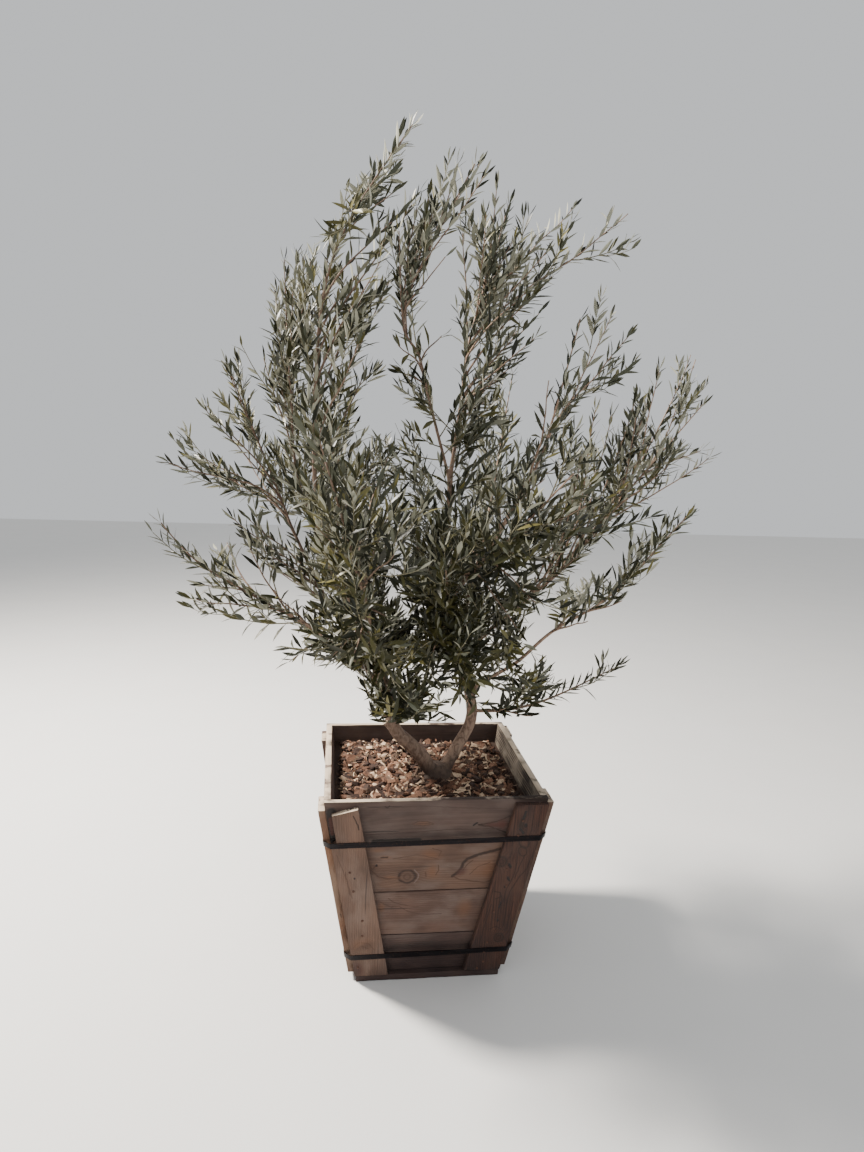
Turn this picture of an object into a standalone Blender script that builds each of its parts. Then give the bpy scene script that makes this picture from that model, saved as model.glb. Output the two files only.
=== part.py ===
"""A two-stemmed olive tree in a square, tapered nursery box of used boards.

Metres, +Z up. The origin is the middle of the box's underside, and the box's front faces -Y.
The box is slats behind corner battens on a floor board, held by two steel straps round the
outside and filled with earth. The trunk forks at the earth into two stems, and boughs leave the
stems. Each mass of foliage grows from a bough's tip or from a stem: a leader, the long shoots
that leave it, short twigs dealt out round those by a seeded rule, and leaves in pairs.
"""

import math
import random
from collections import namedtuple

import bmesh
import bpy
from mathutils import Matrix, Vector
from mathutils.bvhtree import BVHTree
from mathutils.kdtree import KDTree

UP = Vector((0, 0, 1))
CLEAR = 0.0003  # the gap between two solids that meet

# The box, measured across the outside of its boards.
BOX_TOP = 0.610
BOX_FOOT = 0.415
BOX_HEIGHT = 0.583
BOARD = 0.019
JOINT = 0.002
WIDE_JOINT = 0.009  # under the front's top slat, which sits high on its nails
FLOOR_THICK = 0.019
CRATE_FOOT = FLOOR_THICK + CLEAR  # the walls stand on the floor board, which shows below them
EARTH_TOP = 0.527

# Heights at which one slat ends and the next begins, from the ground up, for each side.
JOINTS = dict(
    front=(0.082, 0.146, 0.293, 0.455),
    right=(0.146, 0.296, 0.442),
    back=(0.128, 0.268, 0.430),
    left=(0.102, 0.246, 0.418),
)
SIDES = tuple(JOINTS)

# The battens widen towards the ground, because their inner edges lean more than the corners do.
BATTEN_TOP_WIDTH = 0.090
BATTEN_FOOT_WIDTH = 0.108
BATTEN_TOPS = dict(front=0.572, right=0.570, back=0.572, left=0.558)
SPLIT_FROM = 0.469  # the front's left batten has split away above the strap
SPLIT_END = 0.456
SPLIT_WIDTH = 0.028
SPLIT_LEFT_TOP = 0.551
SPLIT_RIGHT_TOP = 0.568

STRAP_HEIGHTS = dict(lower=0.085, upper=0.458)
STRAP_WIDTH = 0.016
STRAP_THICK = 0.0012

# The trunk forks at the earth. A stem's way is a smooth curve through a few places.
FLARE_RADIUS = 0.056
FLARE_HEIGHT = 0.046
FLARE_NECK = 0.026
FLARE_CENTRE = (0.034, -0.029)
FORK_LENGTH = 0.085
STUB_AT = 0.46  # the old left stem was cut off where the new one turns up
STUB_LENGTH = 0.040
STUB_RADIUS = 0.016
STEMS = dict(
    left=dict(radii=(0.025, 0.0125), way=(
        (0.030, -0.030, EARTH_TOP), (-0.030, -0.045, 0.618), (-0.103, -0.055, 0.696),
        (-0.123, -0.060, 0.801), (-0.171, -0.060, 0.931))),
    right=dict(radii=(0.020, 0.0068), way=(
        (0.042, -0.026, EARTH_TOP), (0.090, -0.005, 0.605), (0.139, 0.015, 0.695),
        (0.129, 0.020, 0.790), (0.080, 0.020, 0.946), (0.048, 0.020, 1.251), (0.049, 0.020, 1.453))),
)
STEM_SIDES = 10
BOUGH_SIDES = 7
LIMB_STEP = 0.075  # between a limb's rings

# Each bough leaves a stem part of the way along it, where 1 is its tip, and ends where it enters
# its mass of foliage.
BOUGHS = dict(
    left_up=dict(stem="left", at=1.0, radii=(0.0110, 0.0080), way=(
        (-0.217, -0.058, 1.026), (-0.257, -0.050, 1.127))),
    left_mid=dict(stem="left", at=0.80, radii=(0.0080, 0.0062), way=(
        (-0.217, -0.016, 0.991), (-0.266, 0.036, 1.087))),
    left_out=dict(stem="left", at=0.68, radii=(0.0080, 0.0062), way=(
        (-0.214, 0.020, 0.931), (-0.281, 0.080, 1.012))),
    left_low=dict(stem="left", at=0.58, radii=(0.0075, 0.0058), way=(
        (-0.189, -0.080, 0.881), (-0.254, -0.090, 0.937))),
    left_front=dict(stem="left", at=0.75, radii=(0.0078, 0.0060), way=(
        (-0.179, -0.125, 0.951), (-0.191, -0.200, 1.026))),
    left_back=dict(stem="left", at=0.53, radii=(0.0082, 0.0062), way=(
        (-0.139, 0.040, 0.886), (-0.169, 0.140, 0.981))),
    fork_left=dict(stem="right", at=0.96, radii=(0.0048, 0.0044), way=(
        (-0.005, 0.000, 1.586), (-0.031, -0.012, 1.671))),
    fork_right=dict(stem="right", at=1.0, radii=(0.0062, 0.0054), way=(
        (0.059, 0.028, 1.526), (0.068, 0.038, 1.596))),
    right_up=dict(stem="right", at=0.58, radii=(0.0080, 0.0064), way=(
        (0.112, 0.014, 1.141), (0.154, 0.002, 1.206))),
    right_out=dict(stem="right", at=0.36, radii=(0.0088, 0.0066), way=(
        (0.166, 0.036, 0.950), (0.230, 0.052, 1.003))),
    right_low=dict(stem="right", at=0.23, radii=(0.0075, 0.0058), way=(
        (0.191, -0.002, 0.833), (0.247, -0.028, 0.877))),
    right_back=dict(stem="right", at=0.45, radii=(0.0082, 0.0062), way=(
        (0.117, 0.085, 1.016), (0.144, 0.155, 1.091))),
)

# Each mass has the places that its leader passes, the leader's tip, and the long shoots, as how
# far along the leader they leave it and where they end. A mass named after a bough grows from
# its tip. The others grow from a stem, at a share of its length, and set out square to it, in a
# direction given in degrees from +X, with their leaves closer together.
MASSES = dict(
    left_up=dict(via=((-0.323, -0.030, 1.318), (-0.346, -0.050, 1.507), (-0.307, -0.080, 1.988)),
                 tip=(-0.066, -0.100, 2.398), shoots=(
        (0.80, (-0.272, -0.280, 2.074)), (0.82, (-0.192, 0.200, 2.328)),
        (0.30, (-0.217, -0.300, 1.815)), (0.45, (-0.170, 0.300, 2.013)),
        (0.05, (-0.192, -0.240, 1.429)))),
    left_mid=dict(via=((-0.359, 0.090, 1.304), (-0.413, 0.130, 1.508)),
                  tip=(-0.450, 0.180, 2.116), shoots=(
        (0.55, (-0.394, 0.360, 2.167)), (0.42, (-0.525, 0.220, 1.835)),
        (0.50, (-0.413, -0.060, 1.895)), (0.20, (-0.245, 0.320, 1.570)))),
    left_out=dict(via=((-0.404, 0.130, 1.240), (-0.467, 0.150, 1.395)),
                  tip=(-0.615, 0.100, 1.768), shoots=(
        (0.58, (-0.722, 0.260, 1.678)), (0.45, (-0.766, 0.300, 1.495)),
        (0.50, (-0.792, -0.060, 1.484)), (0.35, (-0.609, 0.420, 1.529)))),
    left_low=dict(via=((-0.343, -0.100, 1.005), (-0.513, -0.120, 1.106), (-0.655, -0.160, 1.206)),
                  tip=(-0.775, -0.180, 1.355), shoots=(
        (0.35, (-0.681, -0.300, 1.145)), (0.12, (-0.465, -0.150, 0.885)),
        (0.48, (-0.621, 0.080, 1.276)), (0.18, (-0.453, -0.360, 1.198)),
        (0.30, (-0.516, -0.300, 1.307)))),
    left_front=dict(via=((-0.209, -0.310, 1.136),), tip=(-0.339, -0.600, 1.577), shoots=(
        (0.30, (-0.139, -0.600, 1.316)), (0.40, (-0.369, -0.430, 1.377)),
        (0.15, (-0.250, -0.520, 1.017)), (0.20, (-0.109, -0.400, 1.086)),
        (0.10, (-0.340, -0.330, 0.945)))),
    left_back=dict(via=((-0.233, 0.300, 1.187),), tip=(-0.356, 0.620, 1.807), shoots=(
        (0.30, (-0.497, 0.460, 1.567)), (0.45, (-0.276, 0.720, 1.437)),
        (0.20, (-0.107, 0.560, 1.246)), (0.10, (-0.428, 0.430, 1.107)),
        (0.06, (-0.118, 0.380, 0.936)))),
    fork_left=dict(via=((-0.060, -0.040, 1.763), (-0.107, -0.080, 1.900)),
                   tip=(0.087, -0.160, 2.300), shoots=(
        (0.55, (0.095, -0.270, 2.234)), (0.45, (-0.026, 0.140, 2.258)),
        (0.38, (0.000, -0.300, 2.022)), (0.10, (-0.163, -0.200, 1.809)))),
    fork_right=dict(via=((0.085, 0.060, 1.739), (0.109, 0.090, 1.876)),
                    tip=(0.235, 0.160, 2.313), shoots=(
        (0.50, (0.472, 0.260, 2.331)), (0.36, (0.587, 0.040, 2.260)),
        (0.30, (0.229, -0.200, 1.971)), (0.40, (0.220, 0.340, 2.065)),
        (0.05, (0.162, -0.160, 1.740)))),
    right_up=dict(via=((0.245, -0.040, 1.392), (0.301, -0.080, 1.544)),
                  tip=(0.372, -0.160, 1.939), shoots=(
        (0.50, (0.572, 0.160, 1.998)), (0.58, (0.567, -0.060, 1.909)),
        (0.38, (0.235, -0.340, 1.747)), (0.12, (0.205, 0.260, 1.506)),
        (0.20, (0.268, -0.300, 1.486)))),
    right_out=dict(via=((0.411, 0.080, 1.150), (0.530, 0.100, 1.290)),
                   tip=(0.891, 0.100, 1.738), shoots=(
        (0.55, (0.905, 0.300, 1.919)), (0.42, (0.875, -0.020, 1.570)),
        (0.48, (0.616, -0.280, 1.542)), (0.38, (0.748, 0.420, 1.505)),
        (0.12, (0.370, -0.160, 1.338)), (0.20, (0.462, 0.340, 1.381)))),
    right_low=dict(via=((0.356, -0.070, 0.994), (0.527, -0.100, 1.121)),
                   tip=(0.764, -0.120, 1.399), shoots=(
        (0.40, (0.548, -0.240, 1.151)), (0.25, (0.396, -0.340, 1.105)),
        (0.28, (0.604, 0.300, 1.126)), (0.55, (0.761, 0.160, 1.291)))),
    right_back=dict(via=((0.218, 0.310, 1.265),), tip=(0.365, 0.640, 1.865), shoots=(
        (0.35, (0.614, 0.480, 1.565)), (0.45, (0.284, 0.740, 1.465)),
        (0.20, (0.453, 0.500, 1.175)), (0.15, (0.063, 0.600, 1.166)),
        (0.05, (0.182, 0.400, 0.965)))),
    front_right=dict(stem="right", at=0.65, facing=-62, via=((0.132, -0.220, 1.236),),
                     tip=(0.262, -0.600, 1.505), shoots=(
        (0.45, (0.111, -0.600, 1.306)), (0.38, (0.231, -0.480, 1.135)),
        (0.55, (0.392, -0.380, 1.425)), (0.22, (0.240, -0.330, 1.010)))),
    front=dict(stem="right", at=0.50, facing=-105, via=((0.031, -0.180, 1.076),),
               tip=(-0.029, -0.450, 1.266), shoots=(
        (0.35, (-0.059, -0.420, 1.006)), (0.30, (0.121, -0.320, 1.056)),
        (0.45, (-0.108, -0.240, 1.336)), (0.10, (-0.058, -0.130, 1.186)),
        (0.20, (0.050, -0.400, 0.915)), (0.12, (0.150, -0.210, 0.940)),
        (0.15, (-0.090, -0.260, 0.935)))),
    low_front=dict(stem="left", at=0.49, facing=-70, via=((-0.110, -0.200, 0.790),),
                   tip=(-0.040, -0.400, 0.850), shoots=(
        (0.10, (-0.230, -0.230, 0.810)), (0.25, (0.060, -0.270, 0.795)),
        (0.45, (-0.180, -0.400, 0.865)), (0.30, (-0.050, -0.300, 0.905)))),
    low_right=dict(stem="right", at=0.16, facing=-8, via=((0.331, -0.040, 0.765),),
                   tip=(0.614, -0.080, 0.916), shoots=(
        (0.22, (0.311, -0.190, 0.780)), (0.34, (0.402, 0.130, 0.895)),
        (0.28, (0.301, -0.060, 0.905)), (0.10, (0.200, -0.230, 0.830)))),
)
LEADER_RADII = (0.0048, 0.0026)
SHOOT_RADII = (0.0038, 0.0024)
TWIG_RADII = (0.0032, 0.0022)
SHOOT_STEP = 0.15  # between the rings of a leader, shoot or twig
RISE = 0.30  # how far every shoot turns up towards its tip
BARE = 0.08  # the share of a leader or long shoot that has no leaf or twig
TWIG_BARE = 0.25
TWIG_SPACING = 0.30
TWIG_LENGTH = 0.23
TWIG_TRIES = 6
TWIG_ANGLE = math.radians(48)
GOLDEN_ANGLE = math.radians(137.5)
SPACE_GAP = 0.007  # how much nearer to its own mass than to any other every point lies
LIMB_GAP = 0.003
DEALS = 6
FLAT = math.radians(1.5)  # faces that turn less than this against each other become one

LEAF_SPACING = 0.116
CLOSE_LEAF_SPACING = 0.080  # on the masses that grow straight from a stem
LEAF_LENGTH = 0.130
LEAF_WIDTH = 0.043
LEAF_THICK = 0.0035
LEAF_END = 0.8  # the last leaf's share of that length
TIP_SUNK = 0.008
LEAF_ANGLE = math.radians(38)
LEAF_WIDEST = 0.42
LEAF_STAGGER = 0.006
LEAF_TURNS = (0, 0.6, -0.6, 1.2, -1.2)  # a leaf with no room is turned this far round its twig

# Colour, roughness and metallic value of each material.
FINISHES = dict(
    old_board=((0.255, 0.165, 0.115), 0.85, 0.0),
    strap_steel=((0.035, 0.036, 0.040), 0.55, 0.7),
    bark_mulch=((0.300, 0.150, 0.090), 0.95, 0.0),
    bark=((0.210, 0.170, 0.130), 0.90, 0.0),
    olive_leaf=((0.075, 0.095, 0.040), 0.60, 0.0),
)
Limb = namedtuple("Limb", "points radii facing")
made = {}


def finish(name):
    """The material of this name, made on first use."""
    if name in bpy.data.materials:
        return bpy.data.materials[name]
    colour, roughness, metallic = FINISHES[name]
    material = bpy.data.materials.new(name)
    material.use_nodes = True
    shader = material.node_tree.nodes["Principled BSDF"]
    shader.inputs["Base Color"].default_value = (*colour, 1)
    shader.inputs["Roughness"].default_value = roughness
    shader.inputs["Metallic"].default_value = metallic
    return material


def add(name, vertices, faces, material, smooth=False):
    """A new object from points and faces."""
    mesh = bpy.data.meshes.new(name)
    mesh.from_pydata([tuple(v) for v in vertices], [], faces)
    mesh.materials.append(finish(material))
    if smooth:
        mesh.shade_smooth()
        mesh.set_sharp_from_angle(angle=math.radians(55))
    piece = bpy.data.objects.new(name, mesh)
    bpy.context.scene.collection.objects.link(piece)
    return piece


def boolean(piece, operation, others, solver="EXACT"):
    """Applies one Boolean between a piece and other objects, and removes those."""
    group = bpy.data.collections.new("operands")
    bpy.context.scene.collection.children.link(group)
    for other in others:
        bpy.context.scene.collection.objects.unlink(other)
        group.objects.link(other)
    modifier = piece.modifiers.new("join", "BOOLEAN")
    modifier.operation = operation
    modifier.solver = solver
    modifier.operand_type = "COLLECTION"
    modifier.collection = group
    graph = bpy.context.evaluated_depsgraph_get()
    result = bpy.data.meshes.new_from_object(piece.evaluated_get(graph))
    piece.modifiers.clear()
    piece.data = result
    for other in others:
        bpy.data.objects.remove(other)
    bpy.data.collections.remove(group)


# ---- the box ----


def half(height):
    """Half the width across the outside of the boards at this height."""
    return 0.5 * (BOX_FOOT + (BOX_TOP - BOX_FOOT) * height / BOX_HEIGHT)


def batten_width(height):
    return BATTEN_FOOT_WIDTH + (BATTEN_TOP_WIDTH - BATTEN_FOOT_WIDTH) * height / BOX_HEIGHT


def on_wall(side, along, out, height):
    """A place on a wall: along it to the right, out from its boards' outside, and up."""
    turn = Matrix.Rotation(math.radians(90) * SIDES.index(side), 3, "Z")
    return turn @ Vector((along, -(half(height) + out), height))


def plank(name, side, outline, inner, outer, material="old_board"):
    """A board with this outline, as places along the wall and up it, between two depths."""
    count = len(outline)
    vertices = [on_wall(side, along, inner, up) for along, up in outline]
    vertices += [on_wall(side, along, outer, up) for along, up in outline]
    faces = [tuple(reversed(range(count))), tuple(range(count, 2 * count))]
    faces += [(i, (i + 1) % count, count + (i + 1) % count, count + i) for i in range(count)]
    return add(name, vertices, faces, material)


def slats(side):
    """One wall's boards. The front and back run past the ends of the other two."""
    covered = 0 if side in ("front", "back") else BOARD + CLEAR
    heights = (CRATE_FOOT, *JOINTS[side], BOX_HEIGHT)
    for number, (low, high) in enumerate(zip(heights, heights[1:])):
        last = number == len(heights) - 2
        low += 0 if number == 0 else JOINT / 2
        high -= 0 if last else JOINT / 2
        if side == "front" and number == len(heights) - 3:
            high -= WIDE_JOINT
        outline = (
            (covered - half(low), low), (half(low) - covered, low),
            (half(high) - covered, high), (covered - half(high), high))
        plank(f"slat_{side}_{number + 1}", side, outline, -BOARD, 0)


def battens(side):
    """The two upright boards outside one wall, flush with its corners."""
    low, top = CRATE_FOOT, BATTEN_TOPS[side]
    for hand, sign in (("a", -1), ("b", 1)):
        if side == "front" and hand == "a":
            outline = split_batten()
        else:
            outline = [
                (sign * half(low), low), (sign * (half(low) - batten_width(low)), low),
                (sign * (half(top) - batten_width(top)), top), (sign * half(top), top)]
        if sign > 0:
            outline = outline[::-1]
        plank(f"batten_{side}_{hand}", side, outline, CLEAR, CLEAR + BOARD)


def split_batten():
    """The front's left batten: full width to the strap, then narrower, with a slanting top."""
    low = CRATE_FOOT
    inner_top = half(SPLIT_RIGHT_TOP) - batten_width(SPLIT_RIGHT_TOP)
    return [
        (-half(low), low), (batten_width(low) - half(low), low), (-inner_top, SPLIT_RIGHT_TOP),
        (SPLIT_WIDTH - half(SPLIT_LEFT_TOP), SPLIT_LEFT_TOP),
        (SPLIT_WIDTH * 0.6 - half(SPLIT_FROM), SPLIT_FROM), (-half(SPLIT_END), SPLIT_END)]


def strap(name, height):
    """A flat steel band round the battens, cutting across each corner."""
    rings = []
    for up, out in (
        (height - STRAP_WIDTH / 2, 0), (height - STRAP_WIDTH / 2, STRAP_THICK),
        (height + STRAP_WIDTH / 2, STRAP_THICK), (height + STRAP_WIDTH / 2, 0),
    ):
        reach = BOARD + 2 * CLEAR + out
        corner = half(up) + CLEAR + out
        rings.append([on_wall(side, sign * corner, reach, up) for side in SIDES for sign in (-1, 1)])
    count = len(rings[0])
    faces = []
    for ring in range(4):
        for i in range(count):
            a, b = ring * count, (ring + 1) % 4 * count
            faces.append((a + i, a + (i + 1) % count, b + (i + 1) % count, b + i))
    piece = add(name, sum(rings, []), faces, "strap_steel")
    bm = bmesh.new()
    bm.from_mesh(piece.data)
    bmesh.ops.recalc_face_normals(bm, faces=bm.faces)
    bm.to_mesh(piece.data)
    bm.free()


def block(name, bottom, top, material):
    """A block between two levels, each given as half its width, half its depth and its height."""
    corners = [(-x, -y, up) for x, y, up in (bottom, top)], [(x, -y, up) for x, y, up in (bottom, top)]
    corners += [(x, y, up) for x, y, up in (bottom, top)], [(-x, y, up) for x, y, up in (bottom, top)]
    vertices = [corner[0] for corner in corners] + [corner[1] for corner in corners]
    faces = [(3, 2, 1, 0), (4, 5, 6, 7)]
    faces += [(i, (i + 1) % 4, 4 + (i + 1) % 4, 4 + i) for i in range(4)]
    add(name, vertices, faces, material)


def inside(height):
    """Half the room between the boards at this height, with the height."""
    reach = half(height) - BOARD - 2 * CLEAR
    return reach, reach, height


# ---- limbs ----


def smooth(places, count, heading=None):
    """Points evenly along a smooth curve through these places, setting out along heading."""
    places = [Vector(p) for p in places]
    first = places[1] - places[0]
    before = places[0] - first if heading is None else places[1] - 2 * first.length * heading
    ways = [before, *places, 2 * places[-1] - places[-2]]
    fine = []
    for a, b, c, d in zip(ways, ways[1:], ways[2:], ways[3:]):
        for i in range(16):
            t = i / 16
            fine.append(0.5 * (2 * b + (c - a) * t + (2 * a - 5 * b + 4 * c - d) * t**2
                               + (3 * b - a - 3 * c + d) * t**3))
    fine.append(places[-1])
    return even(fine, count)


def even(points, count):
    """This many steps of equal length along a line of points."""
    ends = [0.0]
    for a, b in zip(points, points[1:]):
        ends.append(ends[-1] + (b - a).length)
    result, at = [], 0
    for i in range(count + 1):
        want = ends[-1] * i / count
        while at < len(points) - 2 and ends[at + 1] < want:
            at += 1
        span = ends[at + 1] - ends[at]
        result.append(points[at].lerp(points[at + 1], (want - ends[at]) / span))
    return result


def length_of(points):
    return sum((b - a).length for a, b in zip(points, points[1:]))


def tangents(points):
    first = [(points[1] - points[0]).normalized()]
    last = [(points[-1] - points[-2]).normalized()]
    return first + [(c - a).normalized() for a, c in zip(points, points[2:])] + last


def radius_at(radii, share):
    return radii[0] + (radii[1] - radii[0]) * share


def tube(points, radii, sides, extra=0.0, facing=None, ending=None):
    """Vertices and faces of a tapering tube of rings square to the line."""
    along = tangents(points)
    if facing is not None:
        along[0] = facing
    if ending is not None:
        along[-1] = ending
    across = along[0].orthogonal().normalized()
    vertices, faces = [], []
    for i, (point, ahead) in enumerate(zip(points, along)):
        across = (across - ahead * across.dot(ahead)).normalized()
        beside = ahead.cross(across)
        radius = radius_at(radii, i / (len(points) - 1)) + extra
        for j in range(sides):
            turn = 2 * math.pi * j / sides
            vertices.append(point + radius * (math.cos(turn) * across + math.sin(turn) * beside))
    for i in range(len(points) - 1):
        for j in range(sides):
            a, b, k = i * sides, (i + 1) * sides, (j + 1) % sides
            faces.append((a + j, a + k, b + k, b + j))
    last = len(points) * sides
    faces += [tuple(reversed(range(sides))), tuple(range(last - sides, last))]
    return vertices, faces


def stem_points(name):
    way = STEMS[name]["way"]
    return smooth(way, round(length_of([Vector(p) for p in way]) / LIMB_STEP))


def at_share(points, share):
    """The place and heading this share of the way along a line of points."""
    fine = even(points, 100)
    i = min(99, int(share * 100))
    place = fine[i].lerp(fine[i + 1], share * 100 - i)
    return place, (fine[i + 1] - fine[i]).normalized()


def between(points, start, end):
    """The part of a line of points from one share of its length to another."""
    fine = even(points, 200)
    inside = [p for i, p in enumerate(fine) if start < i / 200 < end]
    return [at_share(points, start)[0], *inside, at_share(points, end)[0]]


def trunk():
    """The flared foot on the earth and the beginnings of both stems."""
    rings = []
    for share, radius in ((0, FLARE_RADIUS), (0.35, FLARE_RADIUS * 0.76), (1, FLARE_NECK)):
        rings.append([
            (FLARE_CENTRE[0] + radius * (1 + 0.10 * math.cos(3 * turn)) * math.cos(turn),
             FLARE_CENTRE[1] + radius * (1 + 0.10 * math.cos(3 * turn)) * math.sin(turn),
             EARTH_TOP + CLEAR + share * FLARE_HEIGHT)
            for turn in (2 * math.pi * (j + 0.5) / 14 for j in range(14))])
    faces = [tuple(reversed(range(14))), tuple(range(28, 42))]
    for low in (0, 14):
        for j in range(14):
            faces.append((low + j, low + (j + 1) % 14, low + 14 + (j + 1) % 14, low + 14 + j))
    piece = add("trunk", sum(rings, []), faces, "bark", smooth=True)
    forks = []
    for name, stem in STEMS.items():
        points = stem_points(name)
        share = FORK_LENGTH / length_of(points)
        part = even(between(points, 0.27 * share, share), 3)
        radii = (stem["radii"][0], radius_at(stem["radii"], share))
        shape = tube(part, radii, STEM_SIDES, ending=at_share(points, share)[1])
        forks.append(add(f"fork_{name}", *shape, "bark"))
    boolean(piece, "UNION", forks)
    piece.data.shade_smooth()
    piece.data.set_sharp_from_angle(angle=math.radians(55))


def stem(name):
    """A stem from just past the fork to its tip. The left one keeps the stub of an older stem."""
    points = stem_points(name)
    whole = length_of(points)
    start = (FORK_LENGTH + CLEAR) / whole
    part = even(between(points, start, 1), max(4, round(whole * (1 - start) / LIMB_STEP)))
    radii = (radius_at(STEMS[name]["radii"], start), STEMS[name]["radii"][1])
    facing = at_share(points, FORK_LENGTH / whole)[1]
    piece = add(f"stem_{name}", *tube(part, radii, STEM_SIDES, facing=facing), "bark", smooth=True)
    if name == "left":
        place, ahead = at_share(points, STUB_AT)
        ahead = (at_share(points, STUB_AT - 0.14)[1] * 2 + ahead).normalized()
        end = place + ahead * STUB_LENGTH
        stub = tube([place - ahead * STUB_RADIUS, place, end], (STUB_RADIUS, STUB_RADIUS), STEM_SIDES)
        boolean(piece, "UNION", [add("stub", *stub, "bark")])
    made[piece.name] = Limb(part, radii, facing)


def bough(name):
    """A bough from its stem's tip, or cut clear of the side of its stem, to its own tip."""
    row = BOUGHS[name]
    carrier = made[f"stem_{row['stem']}"]
    place, ahead = at_share(carrier.points, row["at"])
    if row["at"] == 1.0:
        points = smooth((place + ahead * CLEAR, *row["way"]), 6, heading=ahead)
        facing = ahead
    else:
        points, facing = smooth((place, *row["way"]), 6), None
    count = max(3, round(length_of(points) / LIMB_STEP))
    points = even(points, count)
    shape = tube(points, row["radii"], BOUGH_SIDES, facing=facing)
    piece = add(f"bough_{name}", *shape, "bark", smooth=True)
    if row["at"] < 1.0:
        shape = tube(carrier.points, carrier.radii, STEM_SIDES, CLEAR * 1.5, carrier.facing)
        boolean(piece, "DIFFERENCE", [add("cutter", *shape, "bark")])
    made[piece.name] = Limb(points, row["radii"], facing)


# ---- foliage ----


def sweep(start, heading, tip):
    """A line that sets out along heading and turns up as it reaches the tip of its last leaf."""
    tip = Vector(tip)
    way = tip - start
    last = (way.normalized() + UP * RISE).normalized()
    reach = way.length * 0.36
    bends = (start, start + heading * reach, tip - last * reach, tip)
    fine = []
    for i in range(33):
        t, s = i / 32, 1 - i / 32
        a, b = s**3 * bends[0] + 3 * s * s * t * bends[1], 3 * s * t * t * bends[2] + t**3 * bends[3]
        fine.append(a + b)
    return fine


def short_of_tip(points):
    """The same line without the length that its last leaf takes up."""
    whole = length_of(points)
    part = between(points, 0, 1 - LEAF_LENGTH * LEAF_END / whole)
    return even(part, max(1, round(length_of(part) / SHOOT_STEP)))


def leader_of(name):
    """Where a mass's leader runs, starting clear of the limb that carries it."""
    row = MASSES[name]
    if name in BOUGHS:
        points = made[f"bough_{name}"].points
        heading = (points[-1] - points[-2]).normalized()
        start = points[-1] + heading * CLEAR
    else:
        points, radii, _ = made[f"stem_{row['stem']}"]
        place, ahead = at_share(points, row["at"])
        turn = math.radians(row["facing"])
        heading = Vector((math.cos(turn), math.sin(turn), 0))
        heading = (heading - ahead * heading.dot(ahead)).normalized()
        start = place + heading * (radius_at(radii, row["at"]) + CLEAR)
    return smooth((start, *row["via"], row["tip"]), 8, heading), heading


def skeleton(name):
    """A mass's leader and its long shoots, as lines with their radii and how each sets out."""
    leader, heading = leader_of(name)
    leader = short_of_tip(leader)
    lines = [(leader, LEADER_RADII, heading)]
    for share, tip in MASSES[name]["shoots"]:
        place, ahead = at_share(leader, share)
        heading = (ahead * 0.7 + (Vector(tip) - place).normalized()).normalized()
        lines.append((short_of_tip(sweep(place, heading, tip)), SHOOT_RADII, heading))
    return lines


def tree_of(points):
    """A search tree of places."""
    tree = KDTree(len(points))
    for i, point in enumerate(points):
        tree.insert(point, i)
    tree.balance()
    return tree


def samples(lines, step=0.02):
    return [p for points, _, _ in lines for p in even(points, max(2, round(length_of(points) / step)))]


def limb_samples():
    """Places along every stem and bough, with the limb's radius at each."""
    places, radii = [], []
    for points, ends, _ in made.values():
        fine = even(points, round(length_of(points) / 0.01))
        for i, point in enumerate(fine):
            places.append(point)
            radii.append(radius_at(ends, i / (len(fine) - 1)))
    return tree_of(places), radii


def leaf(root, along, across, length):
    """A blade with a ridge along its upper side, widest before its middle, and its root sunk."""
    middle = root + along * length * LEAF_WIDEST
    side = across * LEAF_WIDTH / 2
    ridge = along.cross(across) * LEAF_THICK
    vertices = [root, middle + side, middle + ridge, middle - side, root + along * length]
    faces = [(0, 2, 1), (0, 3, 2), (0, 1, 3), (4, 1, 2), (4, 2, 3), (4, 3, 1)]
    return vertices, faces


class Mass:
    """One mass while it grows: its pieces, and the tests that keep it in its own space."""

    def __init__(self, own, others, limbs):
        self.own, self.others = tree_of(samples(own)), tree_of(samples(others))
        self.limbs, self.limb_radii = limbs
        self.pieces = []

    def free(self, point, gap):
        """Whether a place is in this mass's own space and clear of the limbs and the box."""
        if self.others.find(point)[2] - self.own.find(point)[2] < SPACE_GAP:
            return False
        _, index, distance = self.limbs.find(point)
        return distance > self.limb_radii[index] + gap and point.z > BOX_HEIGHT + 0.1

    def overlaps(self, vertices, faces, host):
        tree = BVHTree.FromPolygons(vertices, faces)
        return any(tree.overlap(other) for i, (other, _, _) in enumerate(self.pieces) if i != host)

    def keep(self, vertices, faces):
        self.pieces.append((BVHTree.FromPolygons(vertices, faces), vertices, faces))
        return len(self.pieces) - 1


def twigs(lines, mass, dice):
    """Short twigs dealt out round the leader and long shoots, each turned until it has room."""
    for host, (points, _, _) in enumerate(lines):
        count = int(length_of(points) * (1 - BARE) / TWIG_SPACING)
        turn = dice.uniform(0, math.tau)
        for i in range(count):
            share = BARE + (1 - BARE) * (i + 0.5) / (count + 0.5)
            place, ahead = at_share(points, share)
            reach = TWIG_LENGTH * (1.15 - 0.55 * share) * dice.uniform(0.8, 1.2)
            for _ in range(TWIG_TRIES):
                turn += GOLDEN_ANGLE
                twig = twig_at(place, ahead, turn, reach)
                shape = tube(twig, TWIG_RADII, 3)
                clear = all(mass.free(p, LIMB_GAP + TWIG_RADII[0]) for p in even(twig, 6)[2:])
                if clear and not mass.overlaps(*shape, host):
                    yield twig, shape
                    break


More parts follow.
